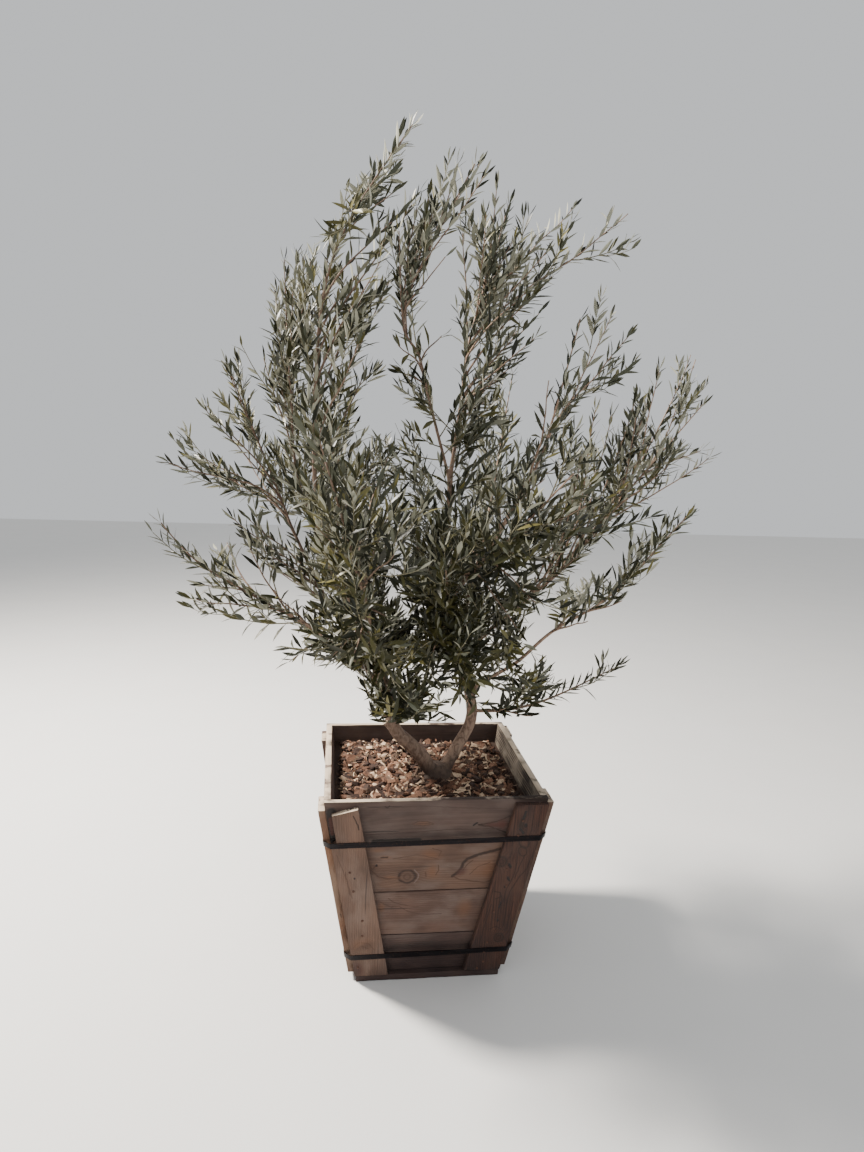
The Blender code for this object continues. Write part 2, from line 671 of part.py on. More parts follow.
def twig_at(place, ahead, turn, reach):
    aside = Matrix.Rotation(turn, 3, ahead) @ ahead.orthogonal().normalized()
    heading = ahead * math.cos(TWIG_ANGLE) + aside * math.sin(TWIG_ANGLE)
    tip = place + (heading + UP * RISE).normalized() * reach
    return short_of_tip(sweep(place, heading, tip))


def leaves(points, bare, spacing, dice):
    """The ways each leaf may lie: one at the tip, then pairs, each turned a quarter from the last."""
    ahead = (points[-1] - points[-2]).normalized()
    wide = ahead.orthogonal().normalized()
    yield [(points[-1] - ahead * TIP_SUNK, ahead, wide, LEAF_LENGTH * LEAF_END)]
    whole = length_of(points)
    count = max(1, round(whole * (1 - bare) / spacing))
    quarter = dice.uniform(0, math.tau)
    for i in range(count):
        share = bare + (1 - bare) * (i + 0.55) / (count + 0.35)
        quarter += math.pi / 2
        for side in (0, 1):
            place, ahead = at_share(points, min(0.97, share + side * LEAF_STAGGER / whole))
            length = LEAF_LENGTH * dice.uniform(0.85, 1.1)
            turns = (quarter + side * math.pi + turn for turn in LEAF_TURNS)
            yield [(place, *leaf_lie(ahead, turn), length) for turn in turns]


def leaf_lie(ahead, turn):
    """Which way a leaf points and which way it is wide, this far round its twig."""
    aside = Matrix.Rotation(turn, 3, ahead) @ ahead.orthogonal().normalized()
    along = ahead * math.cos(LEAF_ANGLE) + aside * math.sin(LEAF_ANGLE)
    return along, ahead.cross(aside).normalized()


def grow(name, skeletons, limbs):
    """Builds one mass and joins it into a single solid, dealt out again if that doesn't close."""
    own = skeletons[name]
    others = [line for other, lines in skeletons.items() if other != name for line in lines]
    for deal in range(DEALS):
        mass = Mass(own, others, limbs)
        fill(mass, name, own, random.Random(f"olive {name} {deal}"))
        if join(f"foliage_{name}", mass.pieces):
            return


def fill(mass, name, own, dice):
    """Adds the mass's shoots and twigs, and then the leaves on them that have room."""
    hosts = []
    for points, radii, heading in own:
        hosts.append((points, mass.keep(*tube(points, radii, 3, facing=heading)), BARE))
    for points, shape in twigs(own, mass, dice):
        hosts.append((points, mass.keep(*shape), TWIG_BARE))
    spacing = LEAF_SPACING if name in BOUGHS else CLOSE_LEAF_SPACING
    for points, host, bare in hosts:
        for ways in leaves(points, bare, spacing, dice):
            for blade in ways:
                shape = leaf(*blade)
                if all(mass.free(v, LIMB_GAP) for v in shape[0]) and not mass.overlaps(*shape, host):
                    mass.keep(*shape)
                    break


def join(name, pieces):
    """One union of all the pieces, without loose scraps. Says whether it closed."""
    for solver in ("EXACT", "MANIFOLD"):
        solids = [add(f"{name}_{i}", *piece[1:], "olive_leaf") for i, piece in enumerate(pieces)]
        body = solids[0]
        body.name = name
        boolean(body, "UNION", solids[1:], solver)
        bm = bmesh.new()
        bm.from_mesh(body.data)
        keep_largest(bm)
        bmesh.ops.dissolve_limit(bm, angle_limit=FLAT, verts=bm.verts, edges=bm.edges)
        bmesh.ops.triangulate(bm, faces=bm.faces)
        closed = all(edge.is_manifold for edge in bm.edges)
        bm.to_mesh(body.data)
        bm.free()
        if closed:
            return True
        bpy.data.objects.remove(body)
    return False


def keep_largest(bm):
    """Deletes every connected piece of the mesh except the one with the most corners."""
    shells, seen = [], set()
    for vertex in bm.verts:
        if vertex in seen:
            continue
        shell, edge = {vertex}, [vertex]
        while edge:
            for link in edge.pop().link_edges:
                found = [other for other in link.verts if other not in shell]
                shell.update(found)
                edge.extend(found)
        seen |= shell
        shells.append(shell)
    largest = max(shells, key=len)
    bmesh.ops.delete(bm, geom=[v for v in bm.verts if v not in largest], context="VERTS")


def main():
    for old in list(bpy.data.objects):
        bpy.data.objects.remove(old)
    for side in SIDES:
        slats(side)
        battens(side)
    for name, height in STRAP_HEIGHTS.items():
        strap(f"strap_{name}", height)
    depth = half(0) + CLEAR + BOARD
    block("floor", (half(0), depth, 0), (half(0), depth, FLOOR_THICK), "old_board")
    block("earth", inside(CRATE_FOOT), inside(EARTH_TOP), "bark_mulch")
    trunk()
    for name in STEMS:
        stem(name)
    for name in BOUGHS:
        bough(name)
    limbs = limb_samples()
    skeletons = {name: skeleton(name) for name in MASSES}
    for name in MASSES:
        grow(name, skeletons, limbs)
    root = bpy.data.objects.new("olive_tree", None)
    bpy.context.scene.collection.objects.link(root)
    for piece in bpy.data.objects:
        if piece != root:
            piece.parent = root


main()
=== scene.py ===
"""The looks of a two-stemmed olive tree in an old nursery box, built round its solids.

Metres, +Z up, in the frame that the solids are in. The file follows the tree as it is put
together: the box's boards and nails, its steel straps, the earth with its bark chips, the
stems and boughs, and then the shoots, twigs and leaves of each mass of foliage.
"""

import math
import random
from collections import namedtuple

import bpy
import numpy as np
from mathutils import Matrix, Vector, noise
from mathutils.kdtree import KDTree


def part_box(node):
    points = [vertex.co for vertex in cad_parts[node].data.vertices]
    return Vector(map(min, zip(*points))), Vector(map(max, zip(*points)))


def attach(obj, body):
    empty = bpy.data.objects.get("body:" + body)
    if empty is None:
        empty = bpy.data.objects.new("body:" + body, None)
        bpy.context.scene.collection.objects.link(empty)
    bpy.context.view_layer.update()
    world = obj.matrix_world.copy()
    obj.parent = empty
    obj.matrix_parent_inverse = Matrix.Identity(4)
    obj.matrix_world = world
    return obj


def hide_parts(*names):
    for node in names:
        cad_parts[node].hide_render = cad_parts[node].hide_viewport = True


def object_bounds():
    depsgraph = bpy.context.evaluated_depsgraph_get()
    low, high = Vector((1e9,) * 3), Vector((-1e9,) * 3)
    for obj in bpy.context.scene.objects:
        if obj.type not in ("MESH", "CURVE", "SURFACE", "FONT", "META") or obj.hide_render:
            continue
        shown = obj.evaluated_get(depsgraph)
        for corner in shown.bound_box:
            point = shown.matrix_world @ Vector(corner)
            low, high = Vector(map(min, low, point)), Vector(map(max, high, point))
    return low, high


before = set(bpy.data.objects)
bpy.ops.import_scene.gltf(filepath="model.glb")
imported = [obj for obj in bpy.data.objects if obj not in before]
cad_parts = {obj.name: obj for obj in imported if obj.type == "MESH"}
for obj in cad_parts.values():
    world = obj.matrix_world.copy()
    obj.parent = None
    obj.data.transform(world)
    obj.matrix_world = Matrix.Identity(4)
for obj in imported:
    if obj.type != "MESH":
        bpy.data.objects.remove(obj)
solid_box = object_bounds()


# ---- the boards ----
# The box is sawn softwood under an inch thick, nailed: slats run round it, and two battens stand
# outside each wall at its corners. It is old, so its arrises are rounded and chipped, its faces
# have sunk between the harder rings, and each board has its own colour.
SIDES = ("front", "right", "back", "left")
SLAT_COUNTS = dict(front=5, right=4, back=4, left=4)
TOP_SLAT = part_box("slat_front_5")
FOOT_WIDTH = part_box("floor")[1][0] * 2
TOP_WIDTH = TOP_SLAT[1][0] * 2
BOX_HEIGHT = TOP_SLAT[1][2]
SPLIT_BATTEN = "batten_front_a"
SPLIT_WIDTH = 0.090  # the split batten's own
SPLIT_FROM = 0.469  # how high up the split begins
SPLIT_LEAN = 0.145  # how far its broken edge leans out over its height
SPLIT_TAPER = 0.013  # how much narrower it was sawn at its foot
SPLIT_PIVOT = 0.100  # how far from the wall's corner it would stay upright
SPLIT_BEND = 0.075  # how far out from there it leans in full
CUT_ALONG = 0.020  # between the cuts that give a board points to shape: along its grain
CUT_ACROSS = 0.0045  # and across it
ARRIS = 0.0013
CHIP_DEPTH = 0.0030
CHIP_RARITY = 0.12  # the higher, the fewer places along an arris are chipped
SUNK_DEPTH = 0.0006
BOARD_COLOURS = dict(  # the dark of the rings, their light, and the silver that weather gives
    plain=((0.052, 0.026, 0.018), (0.132, 0.076, 0.056), (0.124, 0.086, 0.070)),
    grey=((0.040, 0.023, 0.018), (0.096, 0.062, 0.050), (0.100, 0.072, 0.061)),
    warm=((0.050, 0.024, 0.015), (0.134, 0.078, 0.054), (0.120, 0.084, 0.068)),
    tan=((0.068, 0.036, 0.023), (0.162, 0.094, 0.065), (0.150, 0.100, 0.077)),
    brown=((0.014, 0.005, 0.003), (0.072, 0.028, 0.016), (0.062, 0.028, 0.018)),
    amber=((0.100, 0.046, 0.025), (0.215, 0.110, 0.062), (0.190, 0.125, 0.086)),
    # silvered_and_sunlit: weathered grey grain, paled further as painted sunlight on the right wall's inner
    # face
    silvered_and_sunlit=((0.030, 0.020, 0.015), (0.400, 0.325, 0.250), (0.480, 0.400, 0.310)),
    damp=((0.030, 0.017, 0.014), (0.084, 0.050, 0.040), (0.086, 0.060, 0.051)),
    wet=((0.018, 0.008, 0.007), (0.052, 0.026, 0.020), (0.053, 0.031, 0.025)),
)
RING_WIDTH = 0.0064  # one year's growth
RAGGED = 0.004  # how far the edges of a mark stray
MILLIMETRES = (1000, 1000, 1000)
CREAM = (0.640, 0.520, 0.390)
ORANGE = (0.145, 0.060, 0.025)
RESIN = (0.060, 0.018, 0.012)
DARK_LINE = (0.020, 0.010, 0.006)
BLACK = (0.012, 0.008, 0.007)


class Finish:
    """A material while it is put together: each method adds one step and gives what it yields."""

    def __init__(self, name, roughness, metallic=0.0):
        self.material = bpy.data.materials.new(name)
        self.material.use_nodes = True
        self.tree = self.material.node_tree
        self.shader = self.tree.nodes["Principled BSDF"]
        self.shader.inputs["Roughness"].default_value = roughness
        self.shader.inputs["Metallic"].default_value = metallic

    def add(self, kind, inputs, **settings):
        node = self.tree.nodes.new(kind)
        for key, value in settings.items():
            setattr(node, key, value)
        for key, value in inputs.items():
            self.put(node.inputs[key], value)
        return node

    def put(self, socket, value):
        if isinstance(value, bpy.types.NodeSocket):
            self.tree.links.new(value, socket)
        elif socket.type == "RGBA" and len(value) == 3:
            socket.default_value = (*value, 1)
        else:
            socket.default_value = value

    def place(self):
        return self.add("ShaderNodeTexCoord", {}).outputs["Object"]

    def grain(self):
        return self.add("ShaderNodeAttribute", {}, attribute_name="grain").outputs["Vector"]

    def stretched(self, place, scale):
        return self.add("ShaderNodeMapping", {"Vector": place, "Scale": scale}).outputs["Vector"]

    def noise(self, place, scale, detail=2.0, twist=0.0):
        inputs = {"Vector": place, "Scale": scale, "Detail": detail, "Distortion": twist}
        return self.add("ShaderNodeTexNoise", inputs).outputs["Fac"]

    def streaks(self, place, scale, detail, twist=0.0):
        """Noise that is finer along some axes than along others."""
        return self.noise(self.stretched(place, scale), 1.0, detail, twist)

    def sum(self, operation, first, second=0.0, third=0.0):
        inputs = {0: first, 1: second, 2: third}
        return self.add("ShaderNodeMath", inputs, operation=operation).outputs[0]

    def times(self, first, second):
        return self.sum("MULTIPLY", first, second)

    def between(self, value, low, high, start=0.0, end=1.0):
        """Start below low, end above high, and a smooth way from one to the other."""
        inputs = {"Value": value, "From Min": low, "From Max": high, "To Min": start, "To Max": end}
        steps = self.add("ShaderNodeMapRange", inputs, interpolation_type="SMOOTHSTEP")
        return steps.outputs["Result"]

    def mix(self, share, first, second, way="MIX"):
        node = self.add("ShaderNodeMix", {}, data_type="RGBA", blend_type=way)
        for key, value in ((0, share), (6, first), (7, second)):
            self.put(node.inputs[key], value)
        return node.outputs[2]

    def vector(self, operation, first, second=None, scale=None):
        """One step of sums on places. The steps that measure give a plain number."""
        inputs = {0: first}
        if second is not None:
            inputs[1] = second
        if scale is not None:
            inputs["Scale"] = scale
        step = self.add("ShaderNodeVectorMath", inputs, operation=operation)
        return step.outputs["Value" if operation in ("LENGTH", "DISTANCE", "DOT_PRODUCT") else "Vector"]

    def paint(self, colour, roughness=None):
        self.put(self.shader.inputs["Base Color"], colour)
        if roughness is not None:
            self.put(self.shader.inputs["Roughness"], roughness)

    def part(self, vector, axis):
        return self.add("ShaderNodeSeparateXYZ", {0: vector}).outputs[axis]

    def spot(self, place, centre, size, turn=0.0):
        """How far a place on a wall is from a spot's middle, where 1 is the spot's edge."""
        inputs = {
            "Vector": place, "Location": (centre[0], 0, centre[1]),
            "Rotation": (0, math.radians(-turn), 0), "Scale": (size[0], 1000, size[1])}
        nearer = self.add("ShaderNodeMapping", inputs, vector_type="TEXTURE").outputs["Vector"]
        return self.vector("LENGTH", nearer)

    def stroke(self, place, points, width):
        """How far a place on a wall is from a line through points, where 1 is its edge."""
        flat = self.vector("MULTIPLY", place, (1, 0, 1))
        nearest = 1000.0
        for start, end in zip(points, points[1:]):
            run = Vector((end[0] - start[0], 0, end[1] - start[1]))
            offset = self.vector("SUBTRACT", flat, (start[0], 0, start[1]))
            share = self.vector("DOT_PRODUCT", offset, tuple(run / run.length_squared))
            share = self.add("ShaderNodeClamp", {0: share}).outputs[0]
            away = self.vector("DISTANCE", offset, self.vector("SCALE", tuple(run), scale=share))
            nearest = self.sum("MINIMUM", nearest, away)
        return self.sum("DIVIDE", nearest, width)

    def relief(self, height, depth, strength):
        inputs = {"Height": height, "Distance": depth, "Strength": strength}
        self.put(self.shader.inputs["Normal"], self.add("ShaderNodeBump", inputs).outputs["Normal"])


def knotted(wood, colour, place, away, dark, light):
    """A knot, with close rings round its own heart, and a dark rim where the grain parts."""
    away = wood.sum("MULTIPLY_ADD", wood.noise(place, 60.0), 0.35, away)
    circles = wood.sum("SINE", wood.times(away, 17.0))
    inside = wood.between(away, 1.0, 1.2, 0.75, 0.0)
    heart = wood.mix(wood.between(circles, -0.9, 0.9, 0.0, 0.32), dark, light)
    colour = wood.mix(inside, colour, heart)
    outside = wood.between(away, 1.12, 1.35, 1.0, 0.0)
    rim = wood.times(wood.between(away, 0.9, 1.12), outside)
    return wood.mix(wood.times(rim, 0.9), colour, DARK_LINE)


def sunlit_rim_dark_foot(wood, colour, place, rim_shade_right):
    """Painted sunlight in flecks on the rim's top, and painted shade on its right; darker at the foot."""
    normal = wood.add("ShaderNodeNewGeometry", {}).outputs["Normal"]
    height = wood.part(place, 2)
    upward = wood.between(wood.part(normal, 2), 0.35, 0.8)
    # painted sunlight: faces turned up at the top of the walls go cream
    sunlit_top = wood.times(upward, wood.between(height, 0.53, 0.54))
    # painted shade: less of that sunlight over the right of the front boards
    shaded = wood.between(wood.part(place, 0), -0.04, 0.06, 0.0, rim_shade_right)
    # bare: noise breaks the painted sunlight into flecks, for the shadows of leaves
    bare = wood.between(wood.sum("SUBTRACT", wood.noise(place, 14.0, 5.0), shaded), 0.36, 0.50)
    colour = wood.mix(wood.times(sunlit_top, wood.times(bare, 0.85)), colour, CREAM)
    # darker towards the foot, in streaks
    foot_darkening = wood.streaks(place, (9, 9, 3), 3.0)
    foot_darkening = wood.times(wood.between(height, 0.02, 0.20, 1.0, 0.0), wood.between(foot_darkening, 0.3, 0.7))
    return wood.mix(wood.times(foot_darkening, 0.7), colour, BOARD_COLOURS["wet"][0])


def old_board(name, colours, marks=(), contrast=1.0):
    """Sawn softwood: rings about the log's heart, fibres, checks, weather, marks, a painted-sunlit rim."""
    dark, light, silver = BOARD_COLOURS[colours]
    wood = Finish(name, 0.85)
    grain, place = wood.grain(), wood.place()
    ragged = wood.add("ShaderNodeTexNoise", {"Vector": place, "Scale": 90.0}).outputs["Color"]
    ragged = wood.vector("SCALE", wood.vector("SUBTRACT", ragged, (0.5, 0.5, 0.5)), scale=RAGGED)
    wall = wood.stretched(place, MILLIMETRES)
    ragged = wood.stretched(wood.vector("ADD", place, ragged), MILLIMETRES)
    wander = wood.streaks(grain, (2.2, 9, 9), 1.0)
    to_heart = wood.vector("LENGTH", wood.stretched(grain, (0, 1, 1)))
    rings_out = wood.sum("MULTIPLY_ADD", wander, 0.030, to_heart)
    for mark in marks:
        if mark[-1] == "knot":
            near = wood.spot(wall, mark[0], (mark[1][0] * 3.2, mark[1][1] * 2.4), mark[2])
            near = wood.between(near, 0.0, 1.0, 1.0, 0.0)
            rings_out = wood.sum("MULTIPLY_ADD", near, 0.016, rings_out)
    rings = wood.sum("FRACT", wood.times(rings_out, 1 / RING_WIDTH))
    rings = wood.times(wood.between(rings, 0.1, 0.8), wood.between(rings, 0.86, 1.0, 1.0, 0.0))
    fibre = wood.streaks(grain, (7, 620, 620), 3.0)
    blotch = wood.streaks(grain, (8, 15, 15), 3.0)
    split = wood.streaks(grain, (3.5, 170, 170), 1.0)
    split = wood.between(split, 0.23, 0.28, 1.0, 0.0)
    tone = wood.sum("MULTIPLY_ADD", rings, -0.14 * contrast, wood.between(blotch, 0.25, 0.75, 0.20, 0.75))
    tone = wood.sum("MULTIPLY_ADD", wood.sum("SUBTRACT", fibre, 0.5), 0.9 * contrast, tone)
    colour = wood.mix(wood.between(tone, -0.1, 1.1), dark, light)
    weather = wood.streaks(grain, (9, 18, 18), 4.0)
    colour = wood.mix(wood.between(weather, 0.42, 0.72, 0.0, 0.75), colour, silver)
    colour = wood.mix(wood.times(split, 0.55), colour, BLACK)
    cuts = split
    for *where, kind in marks:
        if kind == "knot":
            colour = knotted(wood, colour, place, wood.spot(wall, *where), dark, light)
            continue
        away = (wood.spot if len(where) == 3 else wood.stroke)(ragged, *where)
        if kind == "ring":
            away = wood.times(wood.sum("ABSOLUTE", wood.sum("SUBTRACT", away, 1.0)), 5.0)
        shade, strength, edge = dict(
            crack=(BLACK, 0.95, 0.6), line=(DARK_LINE, 0.90, 0.4), ring=(DARK_LINE, 0.8, 0.3),
            stain=(BLACK, 0.5, 0.1), bare=(CREAM, 0.9, 0.6), arc=(dark, 0.85, 0.2),
            orange=(ORANGE, 0.50, 0.0), resin=(RESIN, 0.75, 0.2), light=(silver, 0.8, 0.3))[kind]
        inside = wood.between(away, edge, 1.3, strength, 0.0)
        colour = wood.mix(inside, colour, shade)
        if kind == "crack":
            cuts = wood.sum("MAXIMUM", cuts, inside)
    # painted sunlight on the rim's top, with painted shade on the front's right; darker at the foot
    colour = sunlit_rim_dark_foot(wood, colour, place, 0.22 if marks else 0.0)
    wood.paint(colour, wood.between(blotch, 0.2, 0.8, 0.78, 0.95))
    ridges = wood.sum("MULTIPLY_ADD", rings, 0.5, fibre)
    wood.relief(wood.sum("MULTIPLY_ADD", cuts, -2.5, ridges), 0.0012, 0.8)
    return wood.material


# The front's boards carry their own marks and a few strokes of painted shade, in millimetres along
# the wall and up it: spots (the middle, the half width and height, the turn, and the kind) and
# strokes (points, half width, kind).
FRONT_BOARDS = dict(
    slat_front_1=old_board("board, foot", "wet", (
        ((-119, 35), (12.9, 16.8), 20, "knot"),)),
    slat_front_2=old_board("board, low", "damp", (
        ((-14, 108), (142, 12.9), 2, "stain"),)),
    slat_front_3=old_board("board, lower middle", "plain", (
        ((95, 230), (24.9, 38.6), 0, "orange"),
        ((-141, 242), (12.9, 19.8), 0, "orange"),
        (((-122, 271), (-105, 256), (-71, 244), (-38, 239)), 1.85, "arc"),
        (((-113, 244), (-92, 243), (-66, 224), (-28, 212), (31, 212)), 1.58, "arc"),
        (((-144, 259), (-112, 240), (-102, 245)), 1.58, "arc"),)),
    slat_front_4=old_board("board, upper middle", "warm", (
        ((-73, 341), (25.8, 22.7), 0, "knot"), ((121, 358), (46.4, 32.6), 14, "orange"),
        ((157, 354), (25.8, 34.6), 0, "orange"), ((-156, 430), (25.8, 8.9), 0, "orange"),
        ((-137, 406), (21.5, 7.91), 0, "orange"), ((-10, 411), (34.4, 17.8), -10, "orange"),
        ((-3, 358), (21.5, 29.7), 0, "orange"), ((-114, 339), (25.8, 6.92), -8, "orange"),
        (((54, 338), (69, 351), (78, 365), (81, 379), (92, 393), (113, 403), (142, 412), (183, 423)),
         5.4, "line"),
        ((80, 352), (20, 13), 40, "resin"),
        (((54, 338), (73, 327), (107, 320), (146, 313), (170, 321)), 2.38, "arc"),
        (((64, 341), (82, 356), (93, 375), (109, 389)), 1.85, "arc"),
        (((102, 342), (125, 368), (157, 379)), 1.58, "arc"),
        (((-174, 366), (-153, 344), (-124, 336), (-99, 337)), 2.64, "arc"),
        (((-174, 364), (-159, 381)), 1.85, "arc"),
        (((-100, 354), (-86, 364), (-62, 364), (-47, 355)), 1.58, "arc"),
        (((-54, 363), (-41, 347), (-42, 336), (-53, 320)), 2.11, "light"),
        (((12, 376), (14, 359), (7, 344)), 1.85, "arc"), (((-7, 431), (18, 421), (12, 405)), 1.58, "arc"),
        (((-147, 406), (-130, 406)), 2.64, "line"), (((-22, 353), (-20, 339)), 2.11, "arc"),
        (((-114, 401), (-46, 412), (11, 396)), 1.32, "arc"), ((-159, 381), (3.44, 3.95), 0, "crack"),)),
    slat_front_5=old_board("board, top", "grey", (
        ((-37, 511), (33.5, 9.89), 0, "orange"),
        (((-67, 509), (-52, 518), (-28, 518), (-9, 511)), 1.58, "arc"),
        (((-61, 507), (-35, 504), (-9, 508)), 1.58, "arc"), (((-55, 511), (-19, 511)), 1.58, "arc"),
        (((115, 503), (147, 507), (175, 515), (200, 528)), 2.11, "line"),
        (((117, 502), (146, 497), (169, 487), (195, 476)), 2.11, "line"),
        ((164, 502), (34.4, 9.89), 0, "resin"), ((184, 502), (17.2, 20.8), 0, "resin"),
        (((102, 502), (111, 509)), 2.64, "crack"), (((-142, 567), (-136, 561), (-131, 568)), 2.11, "line"),
        (((-175, 558), (-54, 567), (66, 558), (205, 550)), 1.32, "arc"),
        (((-189, 481), (-122, 481), (30, 490), (181, 489)), 1.58, "arc"),
        # painted shade: black strokes for the gap above the upper strap and the corner by the split batten
        (((-168, 458), (-46, 459)), 7.92, "crack"), (((-285, 554), (-276, 465)), 13.7, "crack"),
        # painted shade: the dark line from 214 to 304 mm along the rim's right end
        (((-286, 532), (-281, 486)), 6.34, "resin"), (((214, 586), (304, 580)), 8.98, "line"),)),
    batten_front_a=old_board("batten, split", "tan", (
        (((-221, 116), (-201, 138), (-175, 133), (-156, 108)), 2.11, "arc"),
        (((-210, 113), (-194, 125), (-174, 114)), 2.11, "arc"), ((-194, 128), (38.7, 29.7), 0, "orange"),
        ((-185, 122), (32, 17), 25, "stain"), ((-201, 42), (17, 30), 10, "resin"),
        ((-193, 380), (18.9, 12.9), -30, "arc"), (((-268, 430), (-237, 337), (-224, 288)), 1.58, "arc"),
        (((-244, 375), (-230, 298)), 1.58, "arc"), (((-190, 425), (-182, 366)), 1.58, "arc"),
        (((-226, 549), (-214, 522), (-211, 508)), 2.11, "line"), (((-276, 573), (-269, 515)), 2.11, "arc"),
        ((-219, 353), (2.15, 2.97), 0, "crack"), ((-215, 31), (25.8, 44.5), 0, "stain"),
        ((-242, 569), (47.3, 7.91), 15, "bare"),)),
    batten_front_b=old_board("batten, knotty", "brown", (
        ((243, 454), (10.3, 15.8), 20, "light"), ((243, 454), (13.8, 20.8), 20, "ring"),
        ((242, 425), (11.2, 16.8), 20, "ring"), ((185, 393), (15.5, 18.3), 0, "knot"),
        ((199, 134), (15.5, 16.8), 0, "knot"),
        (((199, 576), (180, 447), (155, 301), (124, 114)), 2.11, "light"),
        (((240, 551), (235, 529)), 3.7, "crack"), ((230, 509), (9.46, 17.8), 0, "line"),
        ((243, 508), (5.16, 7.41), 0, "crack"), (((229, 496), (238, 484)), 3.7, "crack"),
        ((210, 379), (4.3, 10.4), 25, "crack"), ((210, 335), (3.87, 9.89), 25, "crack"),
        ((201, 309), (2.58, 4.45), 0, "crack"), (((195, 257), (191, 239)), 2.11, "crack"),
        ((191, 195), (3.44, 5.44), 0, "crack"), (((212, 551), (211, 481), (210, 444)), 1.58, "arc"),
        (((263, 568), (261, 499), (254, 466)), 1.58, "arc"), (((280, 567), (278, 503)), 1.58, "arc"),
        (((250, 414), (237, 376), (228, 337)), 1.85, "arc"),
        (((272, 418), (257, 363), (238, 337), (218, 293), (212, 251), (211, 213), (208, 173)), 2.11, "arc"),
        (((229, 386), (223, 342), (206, 299), (201, 259)), 1.58, "arc"),
        (((172, 295), (190, 289), (193, 275), (178, 269)), 2.11, "arc"),
        (((174, 330), (163, 261), (151, 191)), 1.58, "arc"),
        (((168, 251), (156, 191), (144, 119)), 1.58, "arc"),
        (((231, 258), (223, 197), (214, 157)), 1.58, "arc"),
        (((166, 164), (187, 174), (205, 162)), 1.58, "arc"),), contrast=1.7),
)
FRONT_BOARDS["batten_left_b"] = old_board("batten, amber", "amber")
# painted sunlight: the right wall's top slat is paled and its grain made bold, for sun on its inner face
FRONT_BOARDS["slat_right_4"] = old_board("board, silvered", "silvered_and_sunlit", contrast=3.5)
SIDE_BOARDS = [old_board(f"board, {colours}", colours) for colours in ("plain", "grey", "warm")]


def pick(piece):
    """Makes this the only object that operators act on."""
    bpy.ops.object.select_all(action="DESELECT")
    piece.select_set(True)
    bpy.context.view_layer.objects.active = piece


def apply_all(piece):
    pick(piece)
    for modifier in list(piece.modifiers):
        bpy.ops.object.modifier_apply(modifier=modifier.name)


def round_arrises(piece, width, segments, sharp=50):
    """Rounds every edge that turns by more than this many degrees."""
    bevel = piece.modifiers.new("arris", "BEVEL")
    bevel.width, bevel.segments, bevel.limit_method = width, segments, "ANGLE"
    bevel.angle_limit = math.radians(sharp)
    apply_all(piece)


def smooth_shade(piece, angle):
    """Shades a piece smooth, save where its faces turn by more than this many degrees."""
    pick(piece)
    bpy.ops.object.shade_smooth_by_angle(angle=math.radians(angle))


def merged_copy(node, name):
    """A copy of a solid, its loose triangles joined up and its flat faces made whole again."""
    piece = bpy.data.objects.new(name, bpy.data.objects[node].data.copy())
    bpy.context.scene.collection.objects.link(piece)
    pick(piece)
    bpy.ops.object.mode_set(mode="EDIT")
    bpy.ops.mesh.select_all(action="SELECT")
    bpy.ops.mesh.remove_doubles(threshold=0.00001)
    bpy.ops.mesh.dissolve_limited(angle_limit=math.radians(1))
    bpy.ops.object.mode_set(mode="OBJECT")
    piece.data.materials.clear()
    return piece


def slice_up(piece, normal, low, high, step):
    """Cuts a piece right through at even places along normal, so that it has points to shape."""
    count = max(1, round((high - low) / step))
    bpy.ops.object.mode_set(mode="EDIT")
    for i in range(1, count):
        bpy.ops.mesh.select_all(action="SELECT")
        at = Vector(normal) * (low + (high - low) * i / count)
        bpy.ops.mesh.bisect(plane_co=at, plane_no=normal, use_fill=False)
    bpy.ops.object.mode_set(mode="OBJECT")


def cut_across(piece, axis, step):
    """Divides the edges that run along an axis evenly, so that the piece has points to shape."""
    axis = Vector(axis)
    bpy.ops.object.mode_set(mode="EDIT")
    bpy.ops.mesh.select_mode(type="EDGE")
    bpy.ops.mesh.select_all(action="DESELECT")
    bpy.ops.object.mode_set(mode="OBJECT")
    corners = piece.data.vertices
    longest = 0.0
    for edge in piece.data.edges:
        run = corners[edge.vertices[1]].co - corners[edge.vertices[0]].co
        if abs(run.normalized().dot(axis)) > 0.92:
            edge.select = True
            longest = max(longest, run.length)
    bpy.ops.object.mode_set(mode="EDIT")
    bpy.ops.mesh.subdivide(number_cuts=max(1, round(longest / step) - 1))
    bpy.ops.object.mode_set(mode="OBJECT")


def places_and_normals(piece):
    """Every point of a mesh and the way it faces, as they are before any is moved."""
    count = len(piece.data.vertices)
    both = np.empty((2, count * 3), dtype=np.float32)
    piece.data.vertices.foreach_get("co", both[0])
    piece.data.vertices.foreach_get("normal", both[1])
    places, normals = both.reshape(2, count, 3)
    return [(Vector(place), Vector(normal)) for place, normal in zip(places, normals)]


def half(height):
    """Half the width across the outside of the boards at this height."""
    return 0.5 * (FOOT_WIDTH + (TOP_WIDTH - FOOT_WIDTH) * height / BOX_HEIGHT)


